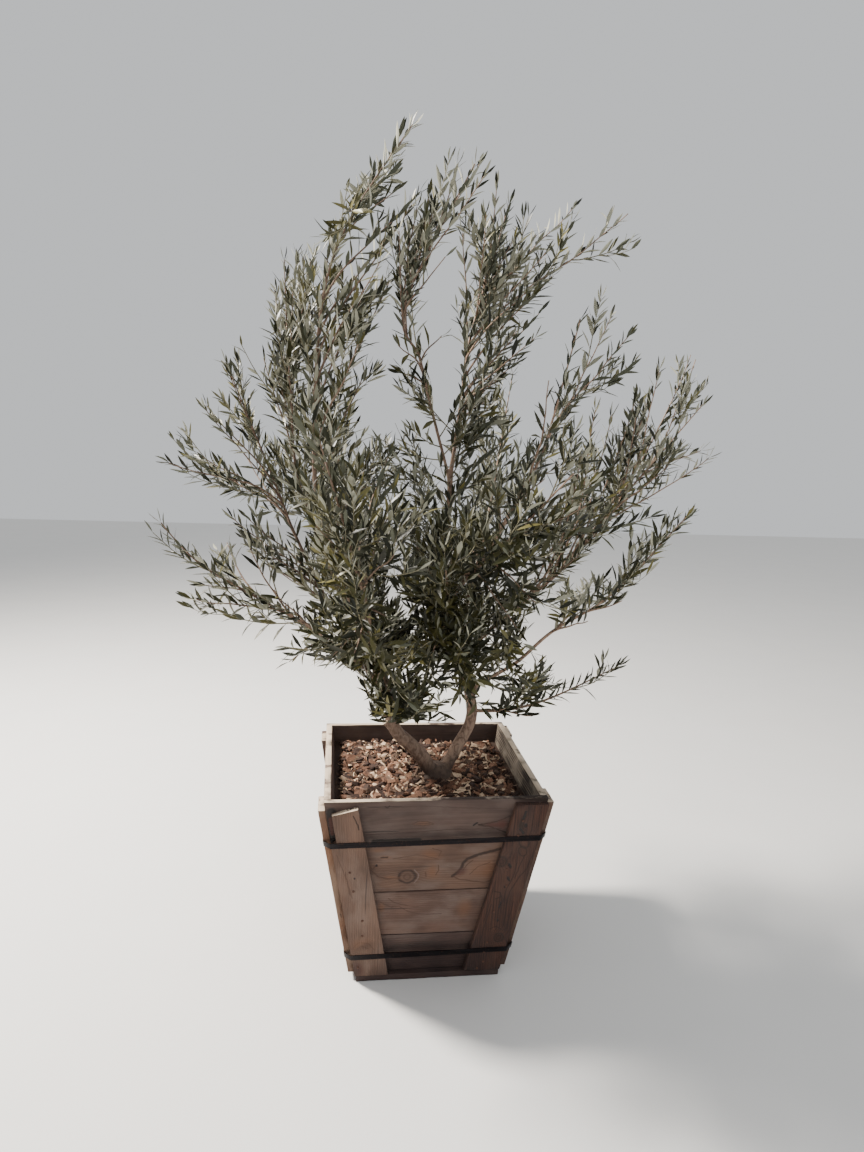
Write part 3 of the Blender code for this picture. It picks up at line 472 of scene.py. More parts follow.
def worn_board(node, side, upright, dice):
    """One board: cut for shaping, its arrises rounded and chipped, its soft wood sunk."""
    piece = merged_copy(node, f"worn_{node}")
    turn = Matrix.Rotation(math.radians(90) * SIDES.index(side), 3, "Z")
    low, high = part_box(node)
    along = turn @ Vector((1, 0, 0))
    steps = (CUT_ACROSS, CUT_ALONG) if upright else (CUT_ALONG, CUT_ACROSS)
    if node == SPLIT_BATTEN:
        slice_up(piece, along, low.dot(along), high.dot(along), steps[0])
        slice_up(piece, (0, 0, 1), low.z, high.z, steps[1])
    else:
        cut_across(piece, along, steps[0])
        cut_across(piece, (0, 0, 1), steps[1])
    round_arrises(piece, ARRIS, 2)
    heart = Vector((dice.uniform(2, 90), dice.uniform(-0.07, 0.07), dice.uniform(0.03, 0.10)))
    grain, shaped = [], []
    back = turn.transposed()
    for place, normal in places_and_normals(piece):
        spot, facing = back @ place, back @ normal
        out = -spot.y - half(spot.z)
        run, width = (spot.z, spot.x) if upright else (spot.x, spot.z)
        grain.append((run + heart.x, width - (low.z + high.z) / 2 * (not upright) + heart.y, out + heart.z))
        if node == SPLIT_BATTEN:
            across = min(1.0, max(0.0, (spot.x + half(spot.z)) / SPLIT_WIDTH))
            place.x -= SPLIT_TAPER * (1 - spot.z / BOX_HEIGHT) * across
            free = min(1.0, max(0.0, (SPLIT_PIVOT - half(spot.z) - spot.x) / SPLIT_BEND))
            place.x -= SPLIT_LEAN * max(0.0, spot.z - SPLIT_FROM) * free
        edge = 1 - max(abs(facing.x), abs(facing.y), abs(facing.z))
        chip = max(0.0, noise.noise(Vector((run * 22 + heart.x, width * 70, out * 70))) - CHIP_RARITY)
        sunk = noise.noise(Vector((run * 6 + heart.x, width * 120, out * 40)))
        inwards = chip * CHIP_DEPTH * min(1, edge * 5) * 2 + (sunk + 0.4) * SUNK_DEPTH
        shaped.append(place - normal * inwards)
    piece.data.vertices.foreach_set("co", np.array(shaped).ravel())
    attribute = piece.data.attributes.new("grain", "FLOAT_VECTOR", "POINT")
    attribute.data.foreach_set("vector", np.array(grain).ravel())
    smooth_shade(piece, 40)
    piece.data.materials.append(FRONT_BOARDS.get(node) or dice.choice(SIDE_BOARDS))
    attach(piece, "root")
    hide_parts(node)


board_dice = random.Random("boards")
for side in SIDES:
    for number in range(SLAT_COUNTS[side]):
        worn_board(f"slat_{side}_{number + 1}", side, False, board_dice)
    for hand in ("a", "b"):
        worn_board(f"batten_{side}_{hand}", side, True, board_dice)
FRONT_BOARDS["floor"] = FRONT_BOARDS["slat_front_1"]
worn_board("floor", "front", False, board_dice)


# ---- the nails ----
# Each batten is nailed to every slat behind it with wire nails. Their small domed heads have
# rusted, and stand a little proud of the batten's face.
HEAD_RADIUS = 0.0034
HEAD_RISE = 0.0011
BATTEN_THICK = 0.0193
NAIL_SHARES = (0.14, 0.52)  # how far up each slat the nails are
NAIL_INSET = 0.062  # from the wall's corner
NAIL_STRAY = (0.006, 0.008)  # up or down, and sideways
SPLIT_NAILS = (  # across and up, in the split batten
    (-0.232, 0.373), (-0.221, 0.311), (-0.194, 0.212), (-0.193, 0.160), (-0.203, 0.051))

rust = Finish("rusty nail", 0.75, 0.4)
rust_place = rust.place()
rust_shade = rust.mix(rust.noise(rust_place, 420.0, 3.0), (0.030, 0.020, 0.018), (0.130, 0.055, 0.030))
rust.paint(rust_shade)
rust.relief(rust.noise(rust_place, 900.0, 2.0), 0.0003, 0.6)

bpy.ops.object.select_all(action="DESELECT")
bpy.ops.mesh.primitive_uv_sphere_add(segments=12, ring_count=8, radius=HEAD_RADIUS, location=(0, 0, 0))
first_nail = bpy.context.object
bpy.ops.object.mode_set(mode="EDIT")
bpy.ops.mesh.select_all(action="SELECT")
below = (0, 0, -HEAD_RADIUS * 0.2)
bpy.ops.mesh.bisect(plane_co=below, plane_no=(0, 0, -1), clear_outer=True, use_fill=True)
bpy.ops.mesh.select_all(action="SELECT")
bpy.ops.transform.resize(value=(1, 1, HEAD_RISE / HEAD_RADIUS))
bpy.ops.object.mode_set(mode="OBJECT")
nails = []
split_nails = list(SPLIT_NAILS)
nail_dice = random.Random("nails")
for side in SIDES:
    turn = Matrix.Rotation(math.radians(90) * SIDES.index(side), 4, "Z")
    lean = Matrix.Rotation(math.radians(90) - math.atan2(TOP_WIDTH - FOOT_WIDTH, 2 * BOX_HEIGHT), 4, "X")
    for hand, sign in (("a", -1), ("b", 1)):
        for number in range(SLAT_COUNTS[side]):
            slat_low, slat_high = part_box(f"slat_{side}_{number + 1}")
            for share in NAIL_SHARES:
                up = slat_low[2] + (slat_high[2] - slat_low[2]) * share
                up += nail_dice.uniform(-NAIL_STRAY[0], NAIL_STRAY[0])
                inset = NAIL_INSET + nail_dice.uniform(-NAIL_STRAY[1], NAIL_STRAY[1])
                across = sign * (half(up) - inset)
                if side + hand == "fronta":
                    if not split_nails:
                        continue
                    across, up = split_nails.pop()
                out = half(up) + BATTEN_THICK
                copy = first_nail.copy()
                copy.data = first_nail.data.copy()
                copy.data.transform(turn @ Matrix.Translation((across, -out, up)) @ lean)
                bpy.context.scene.collection.objects.link(copy)
                nails.append(copy)
bpy.data.objects.remove(first_nail)
bpy.ops.object.select_all(action="DESELECT")
for nail in nails:
    nail.select_set(True)
bpy.context.view_layer.objects.active = nails[0]
bpy.ops.object.join()
nail_heads = bpy.context.object
nail_heads.name = "nail_heads"
nail_heads.data.materials.append(rust.material)
smooth_shade(nail_heads, 60)
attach(nail_heads, "root")


# ---- the straps ----
# Two bands of dark steel hold the box together. Each was drawn tight round the battens, so it
# stands off the slats between them, and its ends are crimped together in a seal at the back.
BAND_RISE = 0.009  # the bands were drawn on a little higher at the right
BAND_ARRIS = 0.0003
BAND_STEP = 0.030  # between the places where a band can stray
BAND_WAVE = 0.0005  # how far it strays
SEAL_AT = 0.070
SEAL_SIZE = (0.034, 0.0030, 0.0185)
SEAL_SUNK = 0.0012  # into the band
SEAL_PINCH = 0.16  # how much narrower the crimps make it

steel = Finish("banding steel", 0.55, 0.85)
steel_place = steel.place()
scuffs = steel.streaks(steel_place, (18, 18, 260), 4.0)
specks = steel.noise(steel_place, 240.0, 3.0)
band_shade = steel.mix(steel.between(scuffs, 0.45, 0.7), (0.004, 0.003, 0.004), (0.014, 0.012, 0.014))
band_shade = steel.mix(steel.between(specks, 0.60, 0.70, 0.0, 0.7), band_shade, (0.045, 0.020, 0.014))
steel.paint(band_shade, steel.between(scuffs, 0.3, 0.7, 0.42, 0.62))
steel.relief(specks, 0.0003, 0.5)

for level in ("lower", "upper"):
    band = merged_copy(f"strap_{level}", f"band_{level}")
    low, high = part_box(f"strap_{level}")
    cut_across(band, (1, 0, 0), BAND_STEP)
    cut_across(band, (0, 1, 0), BAND_STEP)
    for vertex in band.data.vertices:
        rise = BAND_RISE * (0.5 + vertex.co.x / (high[0] - low[0]))
        wider = half(vertex.co.z + rise) / half(vertex.co.z)
        vertex.co = (vertex.co.x * wider, vertex.co.y * wider, vertex.co.z + rise)
        outwards = Vector((vertex.co.x, vertex.co.y, 0)).normalized()
        vertex.co += outwards * BAND_WAVE * noise.noise(vertex.co * 11)
        vertex.co.z += BAND_WAVE * 1.6 * noise.noise(Vector((vertex.co.x * 7, vertex.co.y * 7, 4.0)))
    round_arrises(band, BAND_ARRIS, 1)
    smooth_shade(band, 35)
    band.data.materials.append(steel.material)
    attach(band, "root")
    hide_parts(f"strap_{level}")

    middle = Vector((SEAL_AT, high[1] - SEAL_SUNK, (low[2] + high[2]) / 2))
    bpy.ops.object.select_all(action="DESELECT")
    bpy.ops.mesh.primitive_cube_add(size=1, location=middle, scale=SEAL_SIZE)
    seal = bpy.context.object
    seal.name = f"seal_{level}"
    bpy.ops.object.transform_apply(location=True, rotation=True, scale=True)
    long = SEAL_SIZE[0]
    slice_up(seal, (1, 0, 0), middle.x - long / 2, middle.x + long / 2, long / 12)
    for vertex in seal.data.vertices:
        share = (vertex.co.x - middle.x) / long
        pinch = 1 - SEAL_PINCH * max(0.0, math.cos(share * math.tau * 2.5)) * (abs(share) < 0.4)
        vertex.co.z = middle.z + (vertex.co.z - middle.z) * pinch
    round_arrises(seal, BAND_ARRIS * 1.5, 2, 30)
    smooth_shade(seal, 35)
    seal.data.materials.append(steel.material)
    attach(seal, "root")


# ---- the earth and its bark chips ----
# The box is filled with dark potting earth. A loose layer of chunky bark chips lies on it, so
# the top is uneven, and some of the chips show pale where they were broken.
EARTH_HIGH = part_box("earth")[1]
EARTH_TOP = EARTH_HIGH.z
EARTH_STEP = 0.012
EARTH_SUNK = 0.004  # the earth below the mean of the chips
CHIPS_SUNK = 0.005  # the lowest chips below it
CHIP_COUNT = 2900
CHIP_KINDS = 24
CHIP_TILT = 0.38  # the spread of their tilt, in radians
CHIP_LENGTHS = (0.016, 0.058)
CHIP_RISE = 0.014  # from the lowest chips to those on top
CHIP_EDGES = 0.30  # the share of the chips that are pale all round where they broke
MOUND = 0.007  # how far the layer rises and sinks over the box
FOOT_OF_STEMS = Vector((0.034, -0.029, 0))
FOOT_CLEAR = 0.034  # how far round it no chips lie
WALL_CLEAR = 0.006

earth = Finish("potting earth", 0.95)
earth_place = earth.place()
crumbs = earth.noise(earth_place, 160.0, 5.0)
earth.paint(earth.mix(crumbs, (0.020, 0.012, 0.009), (0.110, 0.062, 0.042)))
earth.relief(crumbs, 0.004, 1.0)

fill = merged_copy("earth", "earth_fill")
cut_across(fill, (1, 0, 0), EARTH_STEP)
cut_across(fill, (0, 1, 0), EARTH_STEP)


def mound(x, y):
    """How high the layer of chips lies above or below its mean here."""
    broad = noise.noise(Vector((x * 7, y * 7, 1.7)))
    return MOUND * broad + 0.003 * noise.noise(Vector((x * 31, y * 31, 5.1)))


for vertex in fill.data.vertices:
    if vertex.co.z > EARTH_TOP - 0.001:
        vertex.co.z += mound(vertex.co.x, vertex.co.y) - EARTH_SUNK
smooth_shade(fill, 60)
fill.data.materials.append(earth.material)
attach(fill, "root")
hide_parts("earth")

CHIP_SHADES = (  # the dark and the light of each lot of chips, and last of their broken edges
    ((0.012, 0.005, 0.003), (0.055, 0.023, 0.012)),
    ((0.060, 0.025, 0.013), (0.170, 0.080, 0.044)),
    ((0.130, 0.062, 0.034), (0.300, 0.160, 0.098)),
    ((0.360, 0.240, 0.150), (0.580, 0.430, 0.300)),
    ((0.050, 0.027, 0.017), (0.150, 0.092, 0.060)),
    ((0.420, 0.285, 0.180), (0.700, 0.530, 0.380)),
)
CHIP_SHARES = (0.36, 0.32, 0.18, 0.04, 0.10)


def joined(name, vertices, faces, materials, slots=None, angle=40):
    """One mesh from arrays of many small things, shaded smooth across gentle turns."""
    mesh = bpy.data.meshes.new(name)
    mesh.from_pydata(vertices.tolist(), [], faces.tolist() if hasattr(faces, "tolist") else faces)
    for material in materials:
        mesh.materials.append(material)
    if slots is not None:
        mesh.polygons.foreach_set("material_index", np.asarray(slots, dtype=np.int32))
    mesh.shade_smooth()
    mesh.set_sharp_from_angle(angle=math.radians(angle))
    piece = bpy.data.objects.new(name, mesh)
    bpy.context.scene.collection.objects.link(piece)
    return piece


def belt(low, sides, up):
    """The faces between a ring of points that starts at low and the ring that is up after it."""
    ring = [(low + j, low + (j + 1) % sides) for j in range(sides)]
    return [(here, beside, beside + up, here + up) for here, beside in ring]


def halved(faces):
    """Each face with four corners as two with three."""
    return [part for a, b, c, d in faces for part in ((a, b, c), (a, c, d))]


def chip_shape(dice):
    """A broken slab of bark, one long: a six-cornered outline, its top drawn in and uneven."""
    corners = []
    for i in range(6):
        turn = math.tau * (i + dice.uniform(-0.25, 0.25)) / 6
        reach = dice.uniform(0.38, 0.52)
        corners.append((reach * math.cos(turn), reach * math.sin(turn) * 0.62))
    thick = dice.uniform(0.10, 0.22)
    draw = dice.uniform(0.70, 0.95)
    low = [(x, y, -thick / 2 + dice.uniform(-0.03, 0.03)) for x, y in corners]
    top = [(x * draw, y * draw, thick / 2 + dice.uniform(-0.05, 0.05)) for x, y in corners]
    return low + top


CHIP_FACES = [(0, i + 1, i) for i in range(1, 5)] + [(6, i, i + 1) for i in range(7, 11)]
CHIP_FACES += halved(belt(0, 6, 6))
chip_dice = random.Random("chips")
chip_shapes = np.array([chip_shape(chip_dice) for _ in range(CHIP_KINDS)])
corner_blocks, chip_slots = [], []
room = EARTH_HIGH.x - WALL_CLEAR
while len(corner_blocks) < CHIP_COUNT:
    x, y = chip_dice.uniform(-room, room), chip_dice.uniform(-room, room)
    layer = chip_dice.random()
    span = CHIP_LENGTHS[0] + (CHIP_LENGTHS[1] - CHIP_LENGTHS[0]) * chip_dice.random() ** 2
    if max(abs(x), abs(y)) > room - span / 2:
        continue
    if (Vector((x, y, 0)) - FOOT_OF_STEMS).length < FOOT_CLEAR:
        continue
    tilt = Matrix.Rotation(chip_dice.gauss(0, CHIP_TILT), 3, "X")
    tilt = tilt @ Matrix.Rotation(chip_dice.gauss(0, CHIP_TILT), 3, "Y")
    turn = Matrix.Rotation(chip_dice.uniform(0, math.tau), 3, "Z") @ tilt
    size = np.array((span, span * chip_dice.uniform(0.6, 1.1), span * chip_dice.uniform(0.7, 1.2)))
    height = EARTH_TOP + mound(x, y) - CHIPS_SUNK + CHIP_RISE * layer
    shape = chip_shapes[chip_dice.randrange(CHIP_KINDS)] * size
    corner_blocks.append(shape @ np.array(turn).T + (x, y, height))
    shade = chip_dice.choices(range(5), CHIP_SHARES)[0]
    edge = 5 if chip_dice.random() < CHIP_EDGES else shade
    chip_slots += [shade] * 8 + [edge] * (len(CHIP_FACES) - 8)
chip_faces = np.array(CHIP_FACES)[None] + 12 * np.arange(CHIP_COUNT)[:, None, None]
chip_finishes = []
for number, (dark, light) in enumerate(CHIP_SHADES):
    bark_chip = Finish(f"bark chip {number + 1}", 0.9)
    flecks = bark_chip.noise(bark_chip.place(), 300.0, 4.0, 0.5)
    bark_chip.paint(bark_chip.mix(bark_chip.between(flecks, 0.3, 0.7), dark, light))
    bark_chip.relief(flecks, 0.0012, 0.8)
    chip_finishes.append(bark_chip.material)
chips = joined("bark_chips", np.concatenate(corner_blocks), chip_faces.reshape(-1, 3), chip_finishes,
               chip_slots, 25)
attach(chips, "root")


# ---- the stems and boughs ----
# The tree forks at the earth into two stems, which carry a dozen boughs. They are living wood in
# smooth, knobbly young bark that has cracked lower down. The left stem turns up beside the stub
# of an earlier stem, whose saw cut is dark at its heart: the heartwood's own dark, with painted
# shade for the hollow there.
CLEAR = 0.0003
FLARE_SIDES = 28
FLARE_RADIUS = 0.056
FLARE_HEIGHT = 0.046
FLARE_SUNK = 0.016  # how far the flare goes down among the chips
FORK_LENGTH = 0.085
STEM_SUNK = 0.012
STUB_AT = 0.46
STUB_LENGTH = 0.040
STUB_RADIUS = 0.016
TREE_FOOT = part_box("trunk")[0].z - CLEAR
STEMS = dict(
    left=dict(radii=(0.025, 0.0125), way=(
        (0.030, -0.030, TREE_FOOT), (-0.030, -0.045, 0.618), (-0.103, -0.055, 0.696),
        (-0.123, -0.060, 0.801), (-0.171, -0.060, 0.931))),
    right=dict(radii=(0.020, 0.0068), way=(
        (0.042, -0.026, TREE_FOOT), (0.090, -0.005, 0.605), (0.139, 0.015, 0.695),
        (0.129, 0.020, 0.790), (0.080, 0.020, 0.946), (0.048, 0.020, 1.251), (0.049, 0.020, 1.453))),
)
BOUGHS = dict(
    left_up=dict(stem="left", at=1.0, radii=(0.0110, 0.0080), way=(
        (-0.217, -0.058, 1.026), (-0.257, -0.050, 1.127))),
    left_mid=dict(stem="left", at=0.80, radii=(0.0080, 0.0062), way=(
        (-0.217, -0.016, 0.991), (-0.266, 0.036, 1.087))),
    left_out=dict(stem="left", at=0.68, radii=(0.0080, 0.0062), way=(
        (-0.214, 0.020, 0.931), (-0.281, 0.080, 1.012))),
    left_low=dict(stem="left", at=0.58, radii=(0.0075, 0.0058), way=(
        (-0.189, -0.080, 0.881), (-0.254, -0.090, 0.937))),
    left_front=dict(stem="left", at=0.75, radii=(0.0078, 0.0060), way=(
        (-0.179, -0.125, 0.951), (-0.191, -0.200, 1.026))),
    left_back=dict(stem="left", at=0.53, radii=(0.0082, 0.0062), way=(
        (-0.139, 0.040, 0.886), (-0.169, 0.140, 0.981))),
    fork_left=dict(stem="right", at=0.96, radii=(0.0048, 0.0044), way=(
        (-0.005, 0.000, 1.586), (-0.031, -0.012, 1.671))),
    fork_right=dict(stem="right", at=1.0, radii=(0.0062, 0.0054), way=(
        (0.059, 0.028, 1.526), (0.068, 0.038, 1.596))),
    right_up=dict(stem="right", at=0.58, radii=(0.0080, 0.0064), way=(
        (0.112, 0.014, 1.141), (0.154, 0.002, 1.206))),
    right_out=dict(stem="right", at=0.36, radii=(0.0088, 0.0066), way=(
        (0.166, 0.036, 0.950), (0.230, 0.052, 1.003))),
    right_low=dict(stem="right", at=0.23, radii=(0.0075, 0.0058), way=(
        (0.191, -0.002, 0.833), (0.247, -0.028, 0.877))),
    right_back=dict(stem="right", at=0.45, radii=(0.0082, 0.0062), way=(
        (0.117, 0.085, 1.016), (0.144, 0.155, 1.091))),
)
LIMB_STEP = 0.012
LIMB_SIDES = 20
COLLAR = 0.75  # how much a bough swells where it leaves its stem
COLLAR_LENGTH = 0.020
NECK_LENGTH = 0.030  # over which a bough that goes on from its stem takes its own thickness
BARK_GRAIN = 0.0020  # the size of the faces that carry the bark's relief
RIDGE = 0.0010
KNOB = 0.0011
Line = namedtuple("Line", "points radii")


def smooth(places, count, heading=None):
    """Points evenly along a smooth curve through these places, setting out along heading."""
    places = [Vector(p) for p in places]
    first = places[1] - places[0]
    before = places[0] - first if heading is None else places[1] - 2 * first.length * heading
    ways = [before, *places, 2 * places[-1] - places[-2]]
    fine = []
    for a, b, c, d in zip(ways, ways[1:], ways[2:], ways[3:]):
        for i in range(16):
            t = i / 16
            fine.append(0.5 * (2 * b + (c - a) * t + (2 * a - 5 * b + 4 * c - d) * t**2
                               + (3 * b - a - 3 * c + d) * t**3))
    fine.append(places[-1])
    return even(fine, count)


def even(points, count):
    """This many steps of equal length along a line of points."""
    ends = [0.0]
    for a, b in zip(points, points[1:]):
        ends.append(ends[-1] + (b - a).length)
    result, at = [], 0
    for i in range(count + 1):
        want = ends[-1] * i / count
        while at < len(points) - 2 and ends[at + 1] < want:
            at += 1
        span = max(ends[at + 1] - ends[at], 1e-9)
        result.append(points[at].lerp(points[at + 1], (want - ends[at]) / span))
    return result


def length_of(points):
    """The length of a line of points."""
    return sum((b - a).length for a, b in zip(points, points[1:]))


def at_share(points, share):
    """The place and heading this share of the way along an even line of points."""
    steps = len(points) - 1
    i = min(steps - 1, int(share * steps))
    return points[i].lerp(points[i + 1], share * steps - i), (points[i + 1] - points[i]).normalized()


def between(points, start, end):
    """The part of an even line of points from one share of its length to another."""
    steps = len(points) - 1
    inside = [p for i, p in enumerate(points) if start < i / steps < end]
    return [at_share(points, start)[0], *inside, at_share(points, end)[0]]


def tube_faces(rings, sides):
    """The faces round a stack of rings of points, and the two that close its ends."""
    last = (rings - 1) * sides
    round_it = [face for low in range(0, last, sides) for face in belt(low, sides, sides)]
    return round_it + [tuple(reversed(range(sides))), tuple(range(last, last + sides))]


def tube(points, radii, sides):
    """Corners and faces of a closed tube of rings square to a line, with a radius at each point."""
    ahead = [(b - a).normalized() for a, b in zip(points, points[1:])]
    ahead = [ahead[0]] + [(a + b).normalized() for a, b in zip(ahead, ahead[1:])] + [ahead[-1]]
    across = ahead[0].orthogonal().normalized()
    corners = []
    for point, along, radius in zip(points, ahead, radii):
        across = (across - along * across.dot(along)).normalized()
        beside = along.cross(across)
        for j in range(sides):
            turn = math.tau * j / sides
            corners.append(point + radius * (math.cos(turn) * across + math.sin(turn) * beside))
    return corners, tube_faces(len(points), sides)


def gathered(shapes):
    """The corners and faces of many shapes in one list of each."""
    corners, faces = [], []
    for own_corners, own_faces in shapes:
        faces += [tuple(len(corners) + i for i in face) for face in own_faces]
        corners += own_corners
    return corners, faces


def taper(points, radii):
    """A radius at each point, from the first of two to the second."""
    steps = len(points) - 1
    return [radii[0] + (radii[1] - radii[0]) * i / steps for i in range(steps + 1)]


limbs = {}  # every stem, above the fork, and every bough, as even lines with their end radii
tubes = []
for name, stem in STEMS.items():
    points = smooth(stem["way"], round(length_of([Vector(p) for p in stem["way"]]) / LIMB_STEP))
    thick = taper(points, stem["radii"])
    knobs = [radius * (1 + 0.10 * noise.noise(point * 22) + 0.06 * noise.noise(point * 55))
             for point, radius in zip(points, thick)]
    sunk = points[0] - (points[1] - points[0]).normalized() * STEM_SUNK
    tubes.append(tube([sunk, *points], [knobs[0], *knobs], LIMB_SIDES))
    above = (FORK_LENGTH + CLEAR) / length_of(points)
    foot, end = stem["radii"]
    radii = (foot + (end - foot) * above, end)
    limbs[name] = Line(even(between(points, above, 1), 60), radii)
    if name == "left":
        place, ahead = at_share(points, STUB_AT)
        ahead = (at_share(points, STUB_AT - 0.14)[1] * 2 + ahead).normalized()
        stub_end, stub_ahead = place + ahead * STUB_LENGTH, ahead
        way = even([place - ahead * STUB_RADIUS, stub_end], 5)
        tubes.append(tube(way, taper(way, (STUB_RADIUS, STUB_RADIUS * 0.98)), LIMB_SIDES))
for name, row in BOUGHS.items():
    carrier = limbs[row["stem"]]
    place, ahead = at_share(carrier.points, row["at"])
    heading = ahead if row["at"] == 1.0 else None
    points = smooth((place, *row["way"]), 24, heading)
    limbs[f"bough_{name}"] = Line(points, row["radii"])
    thick = taper(points, row["radii"])
    run = length_of(points) / 24
    if row["at"] < 1.0:
        thick = [radius * (1 + COLLAR * math.exp(-((i * run / COLLAR_LENGTH) ** 2)))
                 for i, radius in enumerate(thick)]
    else:
        first = carrier.radii[1]
        thick = [max(r, first + (r - first) * min(1, i * run / NECK_LENGTH))
                 for i, r in enumerate(thick)]
    tubes.append(tube(points, thick, LIMB_SIDES))
rings = []
flare_levels = ((-FLARE_SUNK, 1.12), (0.0, 1.0), (0.22, 0.86), (0.5, 0.68), (0.8, 0.53), (1.0, 0.44))
for share, size in flare_levels:
    height = TREE_FOOT + (share if share < 0 else share * FLARE_HEIGHT)
    for j in range(FLARE_SIDES):
        turn = math.tau * j / FLARE_SIDES
        lobes = 1 + (0.10 * math.cos(3 * turn) + 0.05 * math.sin(5 * turn + 1)) * (1 - max(0, share))
        reach = FLARE_RADIUS * size * lobes
        rings.append(FOOT_OF_STEMS + Vector((reach * math.cos(turn), reach * math.sin(turn), height)))
tubes.append((rings, tube_faces(len(flare_levels), FLARE_SIDES)))

bark = Finish("olive bark", 0.88)
bark_place = bark.place()
furrows = bark.streaks(bark_place, (110, 110, 60), 4.0, 0.6)
patches = bark.streaks(bark_place, (34, 34, 16), 3.0)
bark_shade = bark.mix(bark.between(furrows, 0.32, 0.62), (0.135, 0.083, 0.058), (0.325, 0.218, 0.155))
bark_shade = bark.mix(bark.between(patches, 0.52, 0.70, 0.0, 0.45), bark_shade, (0.400, 0.295, 0.210))
left_stem_shade = bark.between(bark.part(bark_place, 0), -0.03, 0.04, 0.40, 0.0)  # painted shade over the left stem, whose seen face lies in shadow
bark_shade = bark.mix(left_stem_shade, bark_shade, (0.070, 0.043, 0.030))
# damp: painted shade, the bark darkening below about 0.64 m at the foot of the stems
damp = bark.sum("MULTIPLY_ADD", bark.noise(bark_place, 30.0), 0.03, bark.part(bark_place, 2))
bark_shade = bark.mix(bark.between(damp, 0.560, 0.640, 0.90, 0.0), bark_shade, (0.030, 0.018, 0.013))
bark.paint(bark_shade, bark.between(patches, 0.3, 0.7, 0.80, 0.94))
bark.relief(bark.streaks(bark_place, (320, 320, 110), 4.0), 0.0012, 0.8)

saw_cut = Finish("saw cut", 0.85)
saw_place = saw_cut.place()
from_heart = saw_cut.vector("LENGTH", saw_cut.vector("SUBTRACT", saw_place, tuple(stub_end)))
from_heart = saw_cut.sum("MULTIPLY_ADD", saw_cut.noise(saw_place, 160.0), 0.004, from_heart)
# the dark heart is the heartwood's own dark, with painted shade for the hollow there
cut_shade = saw_cut.mix(saw_cut.between(from_heart, 0.0085, 0.0115), (0.030, 0.018, 0.012), CREAM)
saw_cut.paint(cut_shade)
saw_cut.relief(from_heart, 0.002, 0.5)

corners, faces = gathered(tubes)
wood = joined("stems_and_boughs", np.array(corners), faces, [bark.material, saw_cut.material])
grow = wood.modifiers.new("one skin", "REMESH")
grow.mode, grow.voxel_size = "VOXEL", BARK_GRAIN
ease = wood.modifiers.new("ease", "SMOOTH")
ease.factor, ease.iterations = 0.5, 5
apply_all(wood)
shaped = []
for place, normal in places_and_normals(wood):
    ridge = noise.noise(Vector((place.x * 120, place.y * 120, place.z * 32)))
    knob = noise.noise(Vector((place.x * 42, place.y * 42, place.z * 26)))
    bulk = min(1.0, max(0.25, (1.05 - place.z) / 0.45))
    shaped.append(place + normal * (RIDGE * ridge - RIDGE * 0.6 * abs(ridge) + KNOB * knob) * bulk)
wood.data.vertices.foreach_set("co", np.array(shaped).ravel())
for face in wood.data.polygons:
    if (face.center - stub_end).length < STUB_RADIUS * 1.05 and face.normal.dot(stub_ahead) > 0.75:
        face.material_index = 1
wood.data.update()
smooth_shade(wood, 50)
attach(wood, "root")
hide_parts("trunk", "stem_left", "stem_right", *(f"bough_{name}" for name in BOUGHS))


